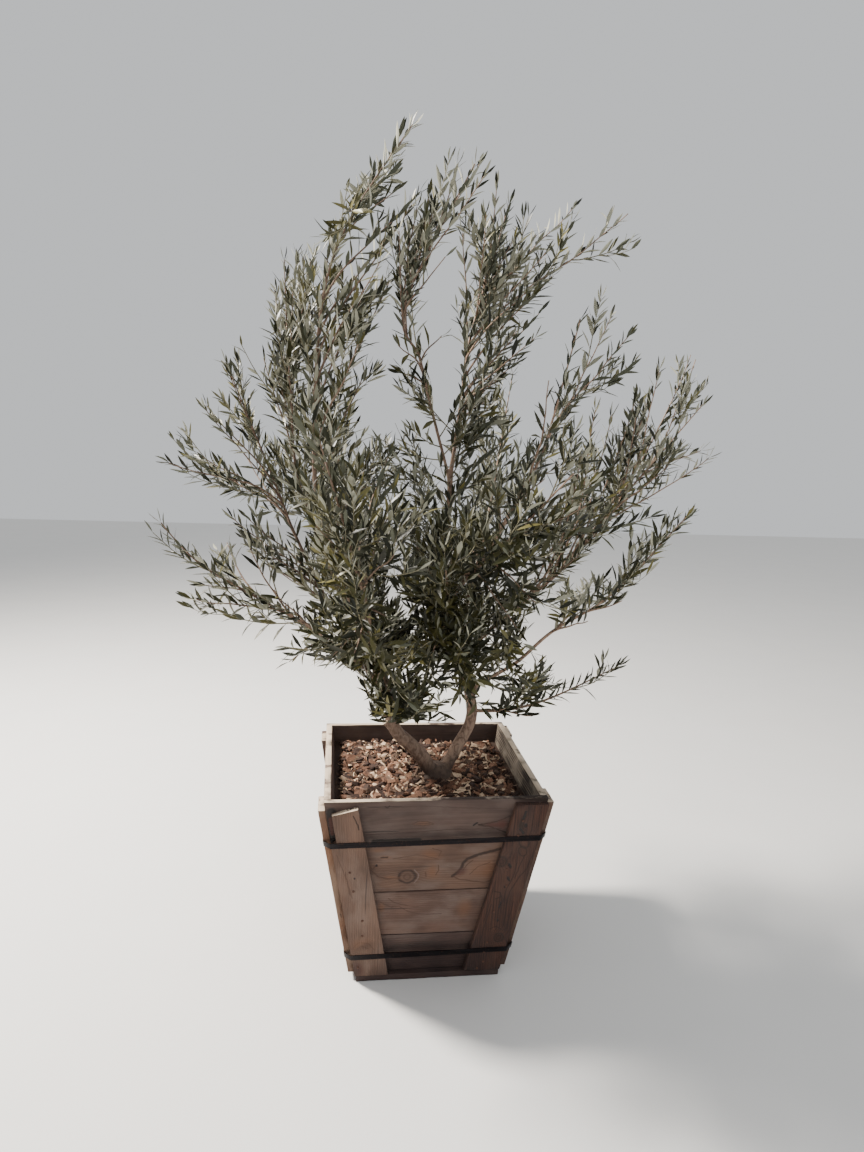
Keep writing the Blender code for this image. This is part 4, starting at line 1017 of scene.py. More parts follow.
# ---- the foliage ----
# A mass grows from its bough's tip, or from a stem: a leader, the long shoots that leave it, side
# shoots dealt out round those, short twigs on them, and narrow leathery leaves in pairs, each pair
# a quarter turned from the last. They are dark green above and silvery with scales beneath.
MASSES = dict(
    left_up=dict(via=((-0.323, -0.030, 1.318), (-0.346, -0.050, 1.507), (-0.307, -0.080, 1.988)),
                 tip=(-0.066, -0.100, 2.398), shoots=(
        (0.80, (-0.272, -0.280, 2.074)), (0.82, (-0.192, 0.200, 2.328)),
        (0.30, (-0.217, -0.300, 1.815)), (0.45, (-0.170, 0.300, 2.013)),
        (0.05, (-0.192, -0.240, 1.429)))),
    left_mid=dict(via=((-0.359, 0.090, 1.304), (-0.413, 0.130, 1.508)),
                  tip=(-0.450, 0.180, 2.116), shoots=(
        (0.55, (-0.394, 0.360, 2.167)), (0.42, (-0.525, 0.220, 1.835)),
        (0.50, (-0.413, -0.060, 1.895)), (0.20, (-0.245, 0.320, 1.570)))),
    left_out=dict(via=((-0.404, 0.130, 1.240), (-0.467, 0.150, 1.395)),
                  tip=(-0.615, 0.100, 1.768), shoots=(
        (0.58, (-0.722, 0.260, 1.678)), (0.45, (-0.766, 0.300, 1.495)),
        (0.50, (-0.792, -0.060, 1.484)), (0.35, (-0.609, 0.420, 1.529)))),
    left_low=dict(via=((-0.343, -0.100, 1.005), (-0.513, -0.120, 1.106), (-0.655, -0.160, 1.206)),
                  tip=(-0.775, -0.180, 1.355), shoots=(
        (0.35, (-0.681, -0.300, 1.145)), (0.12, (-0.465, -0.150, 0.885)),
        (0.48, (-0.621, 0.080, 1.276)), (0.18, (-0.453, -0.360, 1.198)),
        (0.30, (-0.516, -0.300, 1.307)))),
    left_front=dict(via=((-0.209, -0.310, 1.136),), tip=(-0.339, -0.600, 1.577), shoots=(
        (0.30, (-0.139, -0.600, 1.316)), (0.40, (-0.369, -0.430, 1.377)),
        (0.15, (-0.250, -0.520, 1.017)), (0.20, (-0.109, -0.400, 1.086)),
        (0.10, (-0.340, -0.330, 0.945)))),
    left_back=dict(via=((-0.233, 0.300, 1.187),), tip=(-0.356, 0.620, 1.807), shoots=(
        (0.30, (-0.497, 0.460, 1.567)), (0.45, (-0.276, 0.720, 1.437)),
        (0.20, (-0.107, 0.560, 1.246)), (0.10, (-0.428, 0.430, 1.107)),
        (0.06, (-0.118, 0.380, 0.936)))),
    fork_left=dict(via=((-0.060, -0.040, 1.763), (-0.107, -0.080, 1.900)),
                   tip=(0.087, -0.160, 2.300), shoots=(
        (0.55, (0.095, -0.270, 2.234)), (0.45, (-0.026, 0.140, 2.258)),
        (0.38, (0.000, -0.300, 2.022)), (0.10, (-0.163, -0.200, 1.809)))),
    fork_right=dict(via=((0.085, 0.060, 1.739), (0.109, 0.090, 1.876)),
                    tip=(0.235, 0.160, 2.313), shoots=(
        (0.50, (0.472, 0.260, 2.331)), (0.36, (0.587, 0.040, 2.260)),
        (0.30, (0.229, -0.200, 1.971)), (0.40, (0.220, 0.340, 2.065)),
        (0.05, (0.162, -0.160, 1.740)))),
    right_up=dict(via=((0.245, -0.040, 1.392), (0.301, -0.080, 1.544)),
                  tip=(0.372, -0.160, 1.939), shoots=(
        (0.50, (0.572, 0.160, 1.998)), (0.58, (0.567, -0.060, 1.909)),
        (0.38, (0.235, -0.340, 1.747)), (0.12, (0.205, 0.260, 1.506)),
        (0.20, (0.268, -0.300, 1.486)))),
    right_out=dict(via=((0.411, 0.080, 1.150), (0.530, 0.100, 1.290)),
                   tip=(0.891, 0.100, 1.738), shoots=(
        (0.55, (0.905, 0.300, 1.919)), (0.42, (0.875, -0.020, 1.570)),
        (0.48, (0.616, -0.280, 1.542)), (0.38, (0.748, 0.420, 1.505)),
        (0.12, (0.370, -0.160, 1.338)), (0.20, (0.462, 0.340, 1.381)))),
    right_low=dict(via=((0.356, -0.070, 0.994), (0.527, -0.100, 1.121)),
                   tip=(0.764, -0.120, 1.399), shoots=(
        (0.40, (0.548, -0.240, 1.151)), (0.25, (0.396, -0.340, 1.105)),
        (0.28, (0.604, 0.300, 1.126)), (0.55, (0.761, 0.160, 1.291)))),
    right_back=dict(via=((0.218, 0.310, 1.265),), tip=(0.365, 0.640, 1.865), shoots=(
        (0.35, (0.614, 0.480, 1.565)), (0.45, (0.284, 0.740, 1.465)),
        (0.20, (0.453, 0.500, 1.175)), (0.15, (0.063, 0.600, 1.166)),
        (0.05, (0.182, 0.400, 0.965)))),
    front_right=dict(stem="right", at=0.65, facing=-62, via=((0.132, -0.220, 1.236),),
                     tip=(0.262, -0.600, 1.505), shoots=(
        (0.45, (0.111, -0.600, 1.306)), (0.38, (0.231, -0.480, 1.135)),
        (0.55, (0.392, -0.380, 1.425)), (0.22, (0.240, -0.330, 1.010)))),
    front=dict(stem="right", at=0.50, facing=-105, via=((0.031, -0.180, 1.076),),
               tip=(-0.029, -0.450, 1.266), shoots=(
        (0.35, (-0.059, -0.420, 1.006)), (0.30, (0.121, -0.320, 1.056)),
        (0.45, (-0.108, -0.240, 1.336)), (0.10, (-0.058, -0.130, 1.186)),
        (0.20, (0.050, -0.400, 0.915)), (0.12, (0.150, -0.210, 0.940)),
        (0.15, (-0.090, -0.260, 0.935)))),
    low_front=dict(stem="left", at=0.49, facing=-70, via=((-0.110, -0.200, 0.790),),
                   tip=(-0.040, -0.400, 0.850), shoots=(
        (0.10, (-0.230, -0.230, 0.810)), (0.25, (0.060, -0.270, 0.795)),
        (0.45, (-0.180, -0.400, 0.865)), (0.30, (-0.050, -0.300, 0.905)))),
    low_right=dict(stem="right", at=0.16, facing=-8, via=((0.331, -0.040, 0.765),),
                   tip=(0.614, -0.080, 0.916), shoots=(
        (0.22, (0.311, -0.190, 0.780)), (0.34, (0.402, 0.130, 0.895)),
        (0.28, (0.301, -0.060, 0.905)), (0.10, (0.200, -0.230, 0.830)))),
)
EYE = Vector((-0.2844, -2.2290, 1.4895))  # where the front of the crown is looked at from
WHIPS = dict(  # finer long shoots: how far along the leader, where the tip is seen, and its depth
    left_up=(
        (0.50, (-0.306, 2.143), -0.05), (0.45, (-0.143, 2.090), -0.18),
        (0.38, (-0.196, 1.996), -0.12), (0.55, (-0.122, 2.145), -0.02),
        (0.75, (-0.085, 2.263), -0.12), (0.88, (-0.060, 2.440), -0.13),
        (0.50, (-0.059, 2.239), -0.10), (0.20, (-0.186, 1.799), -0.05), (0.30, (-0.125, 2.032), -0.05),
        (0.62, (-0.027, 2.267), -0.10)),
    left_mid=(
        (0.60, (-0.467, 1.985), 0.20), (0.62, (-0.355, 2.075), 0.10), (0.50, (-0.477, 1.820), 0.10),
        (0.70, (-0.398, 2.080), 0.28)),
    left_out=(
        (0.70, (-0.601, 1.756), 0.10), (0.50, (-0.682, 1.656), 0.22), (0.45, (-0.721, 1.528), 0.10),
        (0.12, (-0.620, 1.351), 0.05), (0.10, (-0.587, 1.290), -0.05), (0.04, (-0.543, 1.225), 0.00),
        (0.16, (-0.576, 1.352), 0.12), (0.02, (-0.493, 1.194), 0.08)),
    left_low=(
        (0.55, (-0.732, 1.130), -0.20),),
    left_front=(
        (0.40, (-0.123, 1.559), -0.12), (0.30, (-0.080, 1.452), -0.16)),
    left_back=(
        (0.50, (-0.099, 1.537), 0.15), (0.45, (-0.137, 1.451), 0.10), (0.30, (-0.112, 1.351), 0.12)),
    fork_left=(
        (0.45, (-0.015, 2.235), -0.10), (0.60, (0.052, 2.360), -0.12), (0.70, (0.119, 2.350), -0.05),
        (0.35, (-0.129, 2.182), -0.20), (0.15, (0.049, 1.882), -0.15), (0.04, (-0.173, 1.750), -0.05),
        (0.30, (-0.070, 2.243), -0.12), (0.42, (-0.033, 2.272), -0.06),
        (0.28, (-0.036, 2.210), -0.02)),
    fork_right=(
        (0.50, (0.194, 2.258), 0.10), (0.55, (0.227, 2.169), 0.00), (0.30, (0.048, 2.182), 0.00),
        (0.45, (0.293, 2.173), 0.15), (0.35, (0.330, 2.131), 0.05), (0.60, (0.148, 2.310), 0.02),
        (0.50, (0.117, 2.235), -0.06), (0.20, (0.352, 2.068), 0.05), (0.08, (0.323, 1.968), 0.10),
        (0.05, (0.321, 1.897), -0.05), (0.10, (0.256, 1.910), 0.15), (0.03, (0.267, 1.819), 0.05),
        (0.02, (0.217, 1.769), -0.08), (0.00, (0.197, 1.701), 0.08)),
    right_out=(
        (0.75, (0.780, 1.865), 0.15), (0.60, (0.665, 1.840), 0.00), (0.70, (0.868, 1.579), 0.00),
        (0.50, (0.642, 1.753), 0.10), (0.55, (0.600, 1.694), -0.10), (0.22, (0.477, 1.714), 0.02),
        (0.27, (0.532, 1.699), 0.12), (0.15, (0.449, 1.580), -0.08), (0.30, (0.603, 1.737), 0.00),
        (0.18, (0.501, 1.536), 0.06), (0.10, (0.425, 1.492), -0.04), (0.34, (0.540, 1.347), -0.10),
        (0.20, (0.477, 1.261), -0.12)),
    right_low=(
        (0.90, (0.824, 1.397), -0.05), (0.55, (0.639, 1.203), -0.08)),
    front_right=(
        (0.45, (0.284, 1.293), -0.35),))
FULLNESS = dict(  # how thickly each mass is set with side shoots
    left_up=0.60, left_mid=0.90, left_out=0.50, left_low=0.35, left_front=1.3, left_back=1.2,
    fork_left=0.40, fork_right=0.60, right_up=0.25, right_out=0.50, right_low=0.55, right_back=0.9,
    front_right=1.1, front=1.5, low_front=1.3, low_right=0.35)
CROWN_EDGE = (  # height, and the crown's left and right sides there, as seen on the stems' plane
    (2.45, -0.10, -0.02), (2.40, -0.14, 0.02), (2.36, -0.16, 0.13), (2.31, -0.19, 0.17),
    (2.25, -0.25, 0.40), (2.17, -0.31, 0.60), (2.08, -0.47, 0.55), (1.93, -0.48, 0.53),
    (1.85, -0.50, 0.70), (1.76, -0.61, 0.81), (1.66, -0.70, 0.87), (1.51, -0.82, 0.90),
    (1.40, -0.83, 0.88), (1.30, -0.82, 0.82), (1.20, -0.80, 0.70), (1.12, -0.78, 0.64),
    (1.06, -0.76, 0.53), (1.02, -0.70, 0.45), (0.95, -0.60, 0.36), (0.94, -0.58, 0.60),
    (0.90, -0.54, 0.67), (0.87, -0.52, 0.67), (0.85, -0.22, 0.67), (0.76, -0.19, 0.60),
    (0.72, -0.18, 0.40), (0.69, -0.17, 0.12))
SKY_GAPS = (  # where it is open right through: middle, half width and height, and degrees of turn
    ((0.002, 2.003), (0.043, 0.086), 0), ((-0.165, 1.632), (0.048, 0.074), 0),
    ((-0.132, 1.799), (0.046, 0.026), 0), ((0.012, 1.737), (0.034, 0.143), 0),
    ((0.388, 1.961), (0.037, 0.086), -15), ((0.284, 1.722), (0.034, 0.097), -32),
    ((0.221, 1.677), (0.031, 0.040), 0), ((-0.675, 1.288), (0.091, 0.057), -20),
    ((-0.498, 1.142), (0.091, 0.034), -34), ((0.418, 0.964), (0.120, 0.057), 0),
    ((0.760, 1.431), (0.071, 0.034), 20), ((0.800, 1.617), (0.074, 0.043), 25),
    ((-0.662, 1.522), (0.034, 0.031), 0), ((-0.531, 1.466), (0.026, 0.068), 20),
    ((-0.520, 1.766), (0.031, 0.057), 10), ((-0.212, 1.982), (0.020, 0.034), 0),
    ((0.330, 1.645), (0.034, 0.034), 0), ((0.457, 1.815), (0.026, 0.074), -20),
    ((0.361, 1.443), (0.031, 0.040), 0), ((0.669, 1.682), (0.026, 0.063), -20))
UP = Vector((0, 0, 1))
SPRAY_END = 0.104  # how far short of its given tip a leader ends on the solids
LEADER_END = 0.0016
SHOOT_RADII = (0.0034, 0.0013)
SIDE_RADII = (0.0021, 0.0010)
TWIG_RADII = (0.0013, 0.0008)
LEADER_RADIUS = 0.0062  # of a leader that leaves a stem
LEADER_SUNK = 0.006  # how far a leader starts inside its bough's tip
RISE = 0.30  # how strongly tips turn up
BARE = 0.08  # the share of a shoot, from its foot, without side shoots
SIDE_SPACING = 0.062
SIDE_LENGTH = 0.270
SIDE_ANGLES = (44, 24)  # degrees from the shoot, near its foot and near its tip
TWIG_ANGLES = (40, 30)
WHIP_SHARE = 0.55  # how far a whip's side shoots come up to the others' in length and number
TWIG_SPACING = 0.060
TWIG_LENGTH = 0.095
TWIG_BEARING = 0.13  # how long a side shoot has to be to carry twigs
GOLDEN_ANGLE = math.radians(137.5)
LEAF_SPACING = 0.0235
LEAF_LENGTHS = (0.044, 0.070)
LEAF_RISE = 0.18  # how strongly leaves turn up
LEAF_SHINE = 0.28
LEAF_LOST = 0.06  # the share of leaves that have fallen
LEAF_KIN = 0.75  # the share that have their spray's own shade
LEAF_ANGLES = (28, 52)  # degrees from the shoot, near its tip and near its foot
SHARED_EDGE = 0.030  # how far a twig may reach past the middle between two masses
SHOOT_GAP = 0.002  # between a shoot and the stems and boughs
LEAF_GAP = 0.0005
BOX_CLEAR = 0.012  # above the box's rim
INSIDE = 0.004  # how far in from the solids' box everything stays
STEM_SHOOTS = dict(left=(0.34, 1.0, 26), right=(0.30, 1.0, 44))  # from, to, and how many
BOUGH_SHOOTS = (0.20, 0.95, 8)
STEM_SHOOT_LENGTHS = (0.10, 0.28)
BLADE = ((0.20, 0.58), (0.50, 1.0), (0.80, 0.58))  # share along, and share of the half width
BLADE_CORNERS = 14
BLADE_WIDTH = 0.198  # as a share of its length
BLADE_THICK = 0.0005
SPRAY_SHADES = (  # the top of each spray's leaves, and how often it comes up
    ((0.014, 0.015, 0.005), 0.34), ((0.030, 0.030, 0.009), 0.34),
    ((0.064, 0.059, 0.017), 0.22), ((0.150, 0.133, 0.043), 0.10))
SILVER_SHADES = (  # their undersides
    (0.310, 0.308, 0.235), (0.078, 0.083, 0.055))


def seen(point):
    """Where a place is seen on the stems' plane."""
    way = point - EYE
    return EYE + way * (-EYE.y / way.y)


def at_depth(x, z, depth):
    """The place at this depth that is seen at (x, z) on the stems' plane."""
    way = Vector((x, 0, z)) - EYE
    return EYE + way * ((depth - EYE.y) / way.y)


def in_crown(point):
    """Whether a place is seen inside the crown's edge and clear of its gaps."""
    place = seen(point)
    if not CROWN_EDGE[-1][0] < place.z < CROWN_EDGE[0][0]:
        return False
    edges = [np.interp(-place.z, [-row[0] for row in CROWN_EDGE], [row[i] for row in CROWN_EDGE])
             for i in (1, 2)]
    if not edges[0] < place.x < edges[1]:
        return False
    for (x, z), (wide, tall), turn in SKY_GAPS:
        turned = Matrix.Rotation(-math.radians(turn), 2) @ Vector((place.x - x, place.z - z))
        if (turned.x / wide) ** 2 + (turned.y / tall) ** 2 < 1:
            return False
    return True


def leaf_finish(name, colour, roughness, fuzz):
    """A leathery leaf side: one colour, with its faint veins in the relief."""
    leaf = Finish(name, roughness)
    leaf.paint(colour)
    leaf.put(leaf.shader.inputs["Sheen Weight"], fuzz)
    leaf.put(leaf.shader.inputs["Specular IOR Level"], LEAF_SHINE)
    leaf.relief(leaf.noise(leaf.place(), 500.0, 2.0), 0.0002, 0.4)
    return leaf.material


leaf_finishes = [
    leaf_finish(f"leaf top {number + 1}", colour, 0.42, 0.0)
    for number, (colour, _) in enumerate(SPRAY_SHADES)]
leaf_finishes += [
    leaf_finish(f"leaf underside {number + 1}", colour, 0.70, 0.10)
    for number, colour in enumerate(SILVER_SHADES)]
young = Finish("green twig", 0.75)
young_flecks = young.noise(young.place(), 120.0, 3.0)
young_flecked = young.between(young_flecks, 0.3, 0.7)
young.paint(young.mix(young_flecked, (0.095, 0.085, 0.045), (0.250, 0.225, 0.140)))
young.relief(young_flecks, 0.0005, 0.6)


def sweep(start, heading, tip, steps):
    """A line that sets out along heading and turns up as it reaches its tip."""
    way = tip - start
    last = (way.normalized() + UP * RISE).normalized()
    reach = way.length * 0.36
    bends = (start, start + heading * reach, tip - last * reach, tip)
    fine = []
    for i in range(steps + 1):
        t, s = i / steps, 1 - i / steps
        a, b = s**3 * bends[0] + 3 * s * s * t * bends[1], 3 * s * t * t * bends[2] + t**3 * bends[3]
        fine.append(a + b)
    return even(fine, steps)


def wander(points, amount, seed):
    """The same line with the small sways of a living shoot, still starting and ending in place."""
    swayed = []
    for i, point in enumerate(points):
        free = math.sin(math.pi * i / (len(points) - 1))
        sway = Vector([noise.noise(point * 9 + Vector((seed, 17 * axis, 0))) for axis in range(3)])
        swayed.append(point + sway * amount * free)
    return even(swayed, len(points) - 1)


def shortened(points, cut):
    """The same line without this much of its end."""
    return even(between(points, 0, 1 - cut / length_of(points)), len(points) - 1)


def skeleton(name):
    """A mass's leader and its long shoots, as lines with their radii."""
    row = MASSES[name]
    if name in BOUGHS:
        points, radii = limbs[f"bough_{name}"]
        heading = (points[-1] - points[-2]).normalized()
        start, first = points[-1] - heading * LEADER_SUNK, radii[1] * 1.02
    else:
        points, radii = limbs[row["stem"]]
        place, ahead = at_share(points, row["at"])
        turn = math.radians(row["facing"])
        heading = Vector((math.cos(turn), math.sin(turn), 0))
        heading = (heading - ahead * heading.dot(ahead)).normalized()
        start, first = place, LEADER_RADIUS
    whole = smooth((start, *row["via"], row["tip"]), 60, heading)
    leader = shortened(whole, LEAF_LENGTHS[1])
    lines = [Line(leader, (first, LEADER_END))]
    carrier = shortened(whole, SPRAY_END)
    ways = [(share, Vector(tip), 0.7, 0.85, 0.010, i) for i, (share, tip) in enumerate(row["shoots"])]
    ways += [(share, at_depth(x, z, depth), 0.9, 0.75, 0.008, i + 0.5)
             for i, (share, (x, z), depth) in enumerate(WHIPS.get(name, ()))]
    for share, tip, onwards, thinner, sway, seed in ways:
        place, ahead = at_share(carrier, share)
        heading = (ahead * onwards + (tip - place).normalized()).normalized()
        line = shortened(sweep(place, heading, tip, 30), LEAF_LENGTHS[1])
        thick = min(SHOOT_RADII[0], (first + (LEADER_END - first) * share) * thinner)
        lines.append(Line(wander(line, sway, seed), (thick, SHOOT_RADII[1])))
    return lines


def tree_of(points):
    """A search tree of places."""
    tree = KDTree(len(points))
    for i, point in enumerate(points):
        tree.insert(point, i)
    tree.balance()
    return tree


def samples(lines):
    """Places every 20 mm or so along some lines."""
    return [p for points, _ in lines for p in even(points, max(2, round(length_of(points) / 0.02)))]


skeletons = {name: skeleton(name) for name in MASSES}
own_trees = {name: tree_of(samples(lines)) for name, lines in skeletons.items()}
all_places = [(place, name) for name, lines in skeletons.items() for place in samples(lines)]
nearest_mass = tree_of([place for place, _ in all_places])
limb_places = [
    (point, radii[0] + (radii[1] - radii[0]) * i / 80)
    for points, radii in limbs.values() for i, point in enumerate(even(points, 80))]
limb_tree = tree_of([point for point, _ in limb_places])
lowest = BOX_HEIGHT + BOX_CLEAR
reach_low = [a + INSIDE for a in solid_box[0]]
reach_high = [a - INSIDE for a in solid_box[1]]


def has_room(point, name, gap):
    """Whether a place is in this mass's own space, in the crown's reach and off the limbs."""
    own = own_trees[name].find(point)[2]
    _, index, _ = nearest_mass.find(point)
    if all_places[index][1] != name and own - (point - all_places[index][0]).length > SHARED_EDGE:
        return False
    _, index, distance = limb_tree.find(point)
    if distance < limb_places[index][1] + gap or point.z < lowest or not in_crown(point):
        return False
    return all(low < value < high for low, value, high in zip(reach_low, point, reach_high))


def fits(shoot, name):
    """Whether a shoot has room halfway along and at its tip."""
    return all(has_room(point, name, SHOOT_GAP) for point in (shoot[len(shoot) // 2], shoot[-1]))


def aside_of(ahead, turn):
    """A heading square to ahead, turned this far round it."""
    return Matrix.Rotation(turn, 3, ahead) @ ahead.orthogonal().normalized()


def shoot_at(place, ahead, turn, reach, angle):
    heading = ahead * math.cos(angle) + aside_of(ahead, turn) * math.sin(angle)
    tip = place + (heading + UP * RISE).normalized() * reach
    return sweep(place, heading, tip, max(4, round(reach / 0.022)))


def side_shoots(line, name, spacing, reach_of, angles, radii, dice, tries=4):
    """Shoots dealt out round a line by the golden angle, each turned until it has room."""
    points = line.points
    count = int(length_of(points) * (1 - BARE) / spacing)
    turn = dice.uniform(0, math.tau)
    grown = []
    for i in range(count):
        share = BARE + (1 - BARE) * (i + dice.uniform(0.3, 0.7)) / (count + 0.5)
        if dice.random() < 0.55 * share**2:
            continue
        place, ahead = at_share(points, share)
        reach = reach_of(share) * dice.uniform(0.65, 1.25)
        for _ in range(tries):
            turn += GOLDEN_ANGLE
            angle = angles[0] + (angles[1] - angles[0]) * share + dice.uniform(-7, 7)
            shoot = shoot_at(place, ahead, turn, reach, math.radians(angle))
            if fits(shoot, name):
                grown.append(Line(wander(shoot, 0.006, dice.random() * 50), radii))
                break
    return grown


def pairs_of_leaves(line, bare, spacing, dice):
    """Where each leaf springs from, which way it points, its upper side, and its length."""
    points = line.points
    whole = length_of(points)
    count = max(1, round(whole * (1 - bare) / spacing))
    quarter = dice.uniform(0, math.tau)
    for i in range(count):
        share = bare + (1 - bare) * (i + 0.6) / (count + 0.2)
        quarter += math.pi / 2 + dice.uniform(-0.2, 0.2)
        place, ahead = at_share(points, min(0.995, share))
        small = 1 - 0.45 * max(0.0, share - 0.7) / 0.3
        for side in (0, 1):
            if dice.random() < LEAF_LOST:
                continue
            aside = aside_of(ahead, quarter + side * math.pi + dice.uniform(-0.25, 0.25))
            angle = math.radians(LEAF_ANGLES[1] + (LEAF_ANGLES[0] - LEAF_ANGLES[1]) * share**1.5)
            angle += dice.uniform(-0.18, 0.18)
            along = (ahead * math.cos(angle) + aside * math.sin(angle) + UP * LEAF_RISE).normalized()
            upper = ahead * math.sin(angle) - aside * math.cos(angle)
            upper = upper + UP * 0.45 + along.cross(upper) * dice.uniform(-0.5, 0.5)
            length = dice.uniform(*LEAF_LENGTHS) * small
            yield place, along, (upper - along * upper.dot(along)).normalized(), length
    ahead = (points[-1] - points[-2]).normalized()
    for turn in (0.0, math.pi):
        aside = aside_of(ahead, quarter + turn)
        along = (ahead * 0.93 + aside * 0.36).normalized()
        yield points[-1], along, (along.cross(aside.cross(along))).normalized(), LEAF_LENGTHS[0] * 0.95


def blades(rows, dice):
    """Corners of every leaf: a root, three rings of edge, ridge, edge and keel, and a tip."""
    count = len(rows)
    root = np.array([row[0] for row in rows])
    along = np.array([row[1] for row in rows])
    upper = np.array([row[2] for row in rows])
    long = np.array([row[3] for row in rows])
    across = np.cross(along, upper)
    draw = np.random.default_rng(dice.randrange(2**32))
    bend = draw.normal(-0.10, 0.10, count) * long
    fold = draw.uniform(0.05, 0.45, count)
    wide = long * BLADE_WIDTH * draw.uniform(0.85, 1.15, count) / 2
    corners = np.empty((count, BLADE_CORNERS, 3))
    corners[:, 0] = root
    for ring, (share, width) in enumerate(BLADE):
        middle = root + along * (long * share)[:, None] + upper * (bend * share**2)[:, None]
        side = across * (wide * width)[:, None]
        lift = upper * (wide * width * fold)[:, None]
        thick = upper * BLADE_THICK / 2
        corners[:, 1 + ring * 4] = middle + side + lift
        corners[:, 2 + ring * 4] = middle + thick
        corners[:, 3 + ring * 4] = middle - side + lift
        corners[:, 4 + ring * 4] = middle - thick
    corners[:, -1] = root + along * long[:, None] + upper * bend[:, None]
    return corners.reshape(-1, 3)


BLADE_FACES = [(0, 2, 1), (0, 3, 2), (0, 4, 3), (0, 1, 4), *halved(belt(1, 4, 4) + belt(5, 4, 4)),
               (9, 10, 13), (10, 11, 13), (11, 12, 13), (12, 9, 13)]
BLADE_TOPS = [i < count / 2 for count in (4, 8, 8, 4) for i in range(count)]


def limb_thickness(line):
    """A radius at each point of a shoot, which thins fastest near its foot."""
    points, radii = line
    steps = len(points) - 1
    return [radii[1] + (radii[0] - radii[1]) * (1 - i / steps) ** 1.25 for i in range(steps + 1)]


def dress(name, extra):
    """Grows one mass from its skeleton and joins its twigs and its leaves into two meshes."""
    dice = random.Random(f"spray {name}")
    long_lines = skeletons[name]
    side = list(extra)
    for number, line in enumerate(long_lines):
        less = WHIP_SHARE if number > len(MASSES[name]["shoots"]) else 1.0
        side += side_shoots(
            line, name, SIDE_SPACING / FULLNESS[name] / less,
            lambda share: SIDE_LENGTH * less * (1.15 - 0.75 * share), SIDE_ANGLES, SIDE_RADII, dice)
    small = []
    for line in side:
        if length_of(line.points) > TWIG_BEARING:
            small += side_shoots(
                line, name, TWIG_SPACING / FULLNESS[name] ** 0.5,
                lambda share: TWIG_LENGTH * (1.2 - 0.6 * share), TWIG_ANGLES, TWIG_RADII, dice, 2)
    rows, slots = [], []
    for lines, bare in ((long_lines, 0.14), (side, 0.10), (small, 0.12)):
        for line in lines:
            shade = dice.choices(range(len(SPRAY_SHADES)), [share for _, share in SPRAY_SHADES])[0]
            silver = dice.randrange(len(SILVER_SHADES))
            for row in pairs_of_leaves(line, bare, LEAF_SPACING, dice):
                if not has_room(row[0] + row[1] * row[3], name, LEAF_GAP):
                    continue
                rows.append(row)
                tint = shade if dice.random() < LEAF_KIN else dice.randrange(3)
                slots += [tint if top else len(SPRAY_SHADES) + silver for top in BLADE_TOPS]
    faces = np.array(BLADE_FACES)[None] + BLADE_CORNERS * np.arange(len(rows))[:, None, None]
    leaves = joined(f"leaves_{name}", blades(rows, dice), faces.reshape(-1, 3), leaf_finishes, slots, 60)
    shapes, twig_slots = [], []
    for lines, sides, finish in ((long_lines, 8, 0), (side, 5, 1), (small, 4, 1)):
        for line in lines:
            shapes.append(tube(line.points, limb_thickness(line), sides))
            twig_slots += [finish] * len(shapes[-1][1])
    corners, twig_faces = gathered(shapes)
    twigs = joined(f"twigs_{name}", np.array(corners), twig_faces, [bark.material, young.material],
                   twig_slots, 50)
    for piece, finish in ((leaves, "olive_leaf"), (twigs, "bark")):
        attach(piece, "root")
        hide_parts(f"foliage_{name}")


# Short leafy shoots also stand on the boughs and on the stems themselves. Each belongs to the
# mass that it reaches into.
extras = {name: [] for name in MASSES}
bare_dice = random.Random("stem shoots")
carriers = [(limbs[stem], *row) for stem, row in STEM_SHOOTS.items()]
carriers += [(limbs[f"bough_{name}"], *BOUGH_SHOOTS) for name in BOUGHS]
for line, start, end, count in carriers:
    turn = bare_dice.uniform(0, math.tau)
    for i in range(count):
        share = start + (end - start) * (i + bare_dice.uniform(0.2, 0.8)) / count
        place, ahead = at_share(line.points, share)
        for _ in range(6):
            turn += GOLDEN_ANGLE
            reach = bare_dice.uniform(*STEM_SHOOT_LENGTHS)
            shoot = shoot_at(place, ahead, turn, reach, math.radians(bare_dice.uniform(45, 80)))
            owner = all_places[nearest_mass.find(shoot[-1])[1]][1]
            if fits(shoot, owner):
                extras[owner].append(Line(shoot, SIDE_RADII))
                break
for name in MASSES:
    dress(name, extras[name])


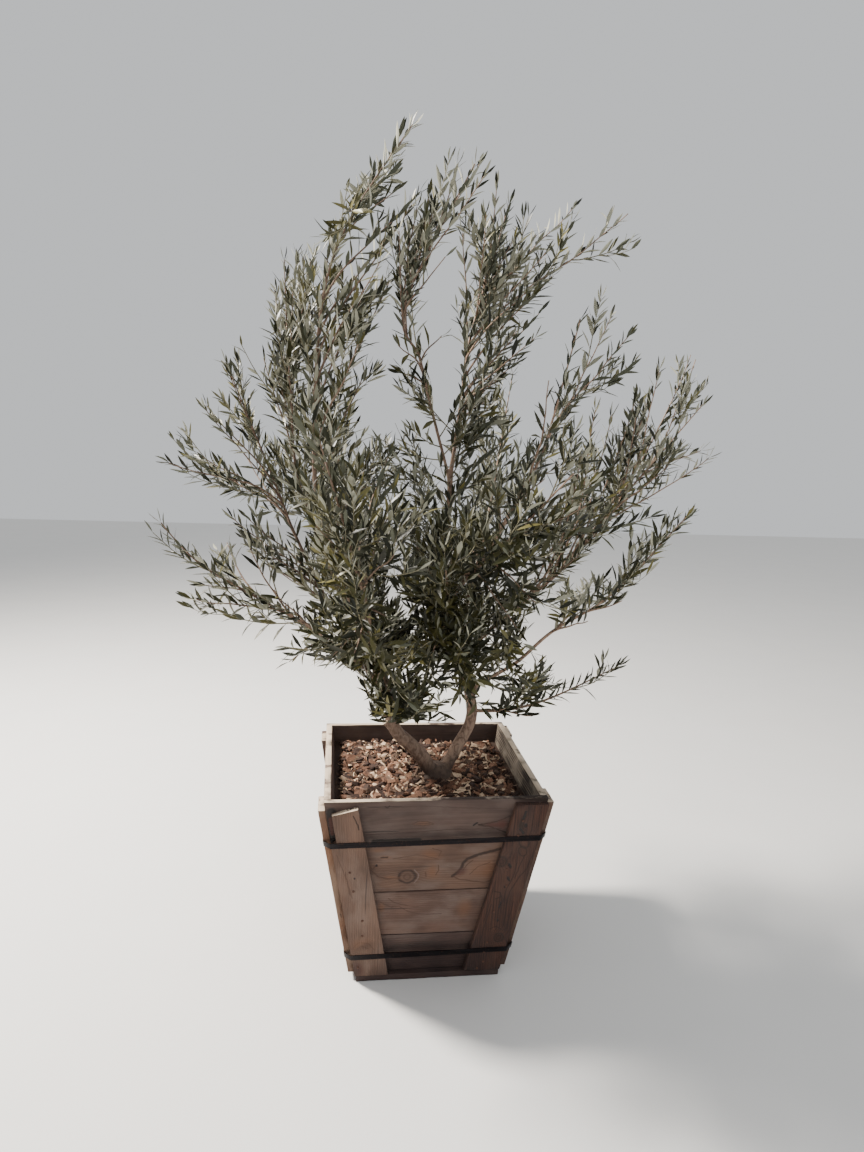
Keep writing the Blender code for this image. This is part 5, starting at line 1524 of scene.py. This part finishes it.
# ---- the room ----
# A plain pale floor and soft light: a broad lamp high on the left and a little behind, a weaker
# one in front on the right, and an even pale sky.
FLOOR_REACH = 14.0
FLOOR_GAP = 0.0005  # below the box's underside
LAMPS_AIM = Vector((0, 0, 1.1))
SKY_COLOUR = (0.86, 0.88, 0.90, 1)
SKY_LIGHT = 0.80
LAMPS = (  # name, place, width, watts and colour
    ("key", (-3.2, 1.3, 4.4), 0.8, 950, (1.0, 0.94, 0.86)),
    ("fill", (2.6, -3.8, 2.4), 2.6, 45, (0.95, 0.97, 1.0)))
EYE_DOWN, EYE_TILT, EYE_LEFT = 0.1526, 0.0348, -0.1273  # radians
LENS, SENSOR = 24.0, 36.0

pale = Finish("pale floor", 0.9)
pale_flecks = pale.noise(pale.place(), 3.0, 2.0)
pale.paint(pale.mix(pale_flecks, (0.74, 0.73, 0.71), (0.78, 0.77, 0.75)))
bpy.ops.object.select_all(action="DESELECT")
bpy.ops.mesh.primitive_plane_add(size=2 * FLOOR_REACH, location=(0, 0, -FLOOR_GAP))
ground = bpy.context.object
ground.name = "floor_of_room"
ground.data.materials.append(pale.material)

world = bpy.data.worlds.new("pale sky")
world.use_nodes = True
sky = world.node_tree.nodes["Background"].inputs
sky["Color"].default_value, sky["Strength"].default_value = SKY_COLOUR, SKY_LIGHT
bpy.context.scene.world = world
for name, spot, size, power, colour in LAMPS:
    lamp = bpy.data.lights.new(name, "AREA")
    lamp.size, lamp.energy, lamp.color = size, power, colour
    holder = bpy.data.objects.new(name, lamp)
    holder.location = spot
    holder.rotation_euler = (LAMPS_AIM - Vector(spot)).to_track_quat("-Z", "Y").to_euler()
    bpy.context.scene.collection.objects.link(holder)

eye = bpy.data.cameras.new("eye")
eye.lens, eye.sensor_width = LENS, SENSOR
viewer = bpy.data.objects.new("eye", eye)
viewer.matrix_world = (
    Matrix.Translation(EYE) @ Matrix.Rotation(EYE_LEFT, 4, "Z")
    @ Matrix.Rotation(math.pi / 2 - EYE_DOWN, 4, "X") @ Matrix.Rotation(EYE_TILT, 4, "Z"))
bpy.context.scene.collection.objects.link(viewer)
bpy.context.scene.camera = viewer
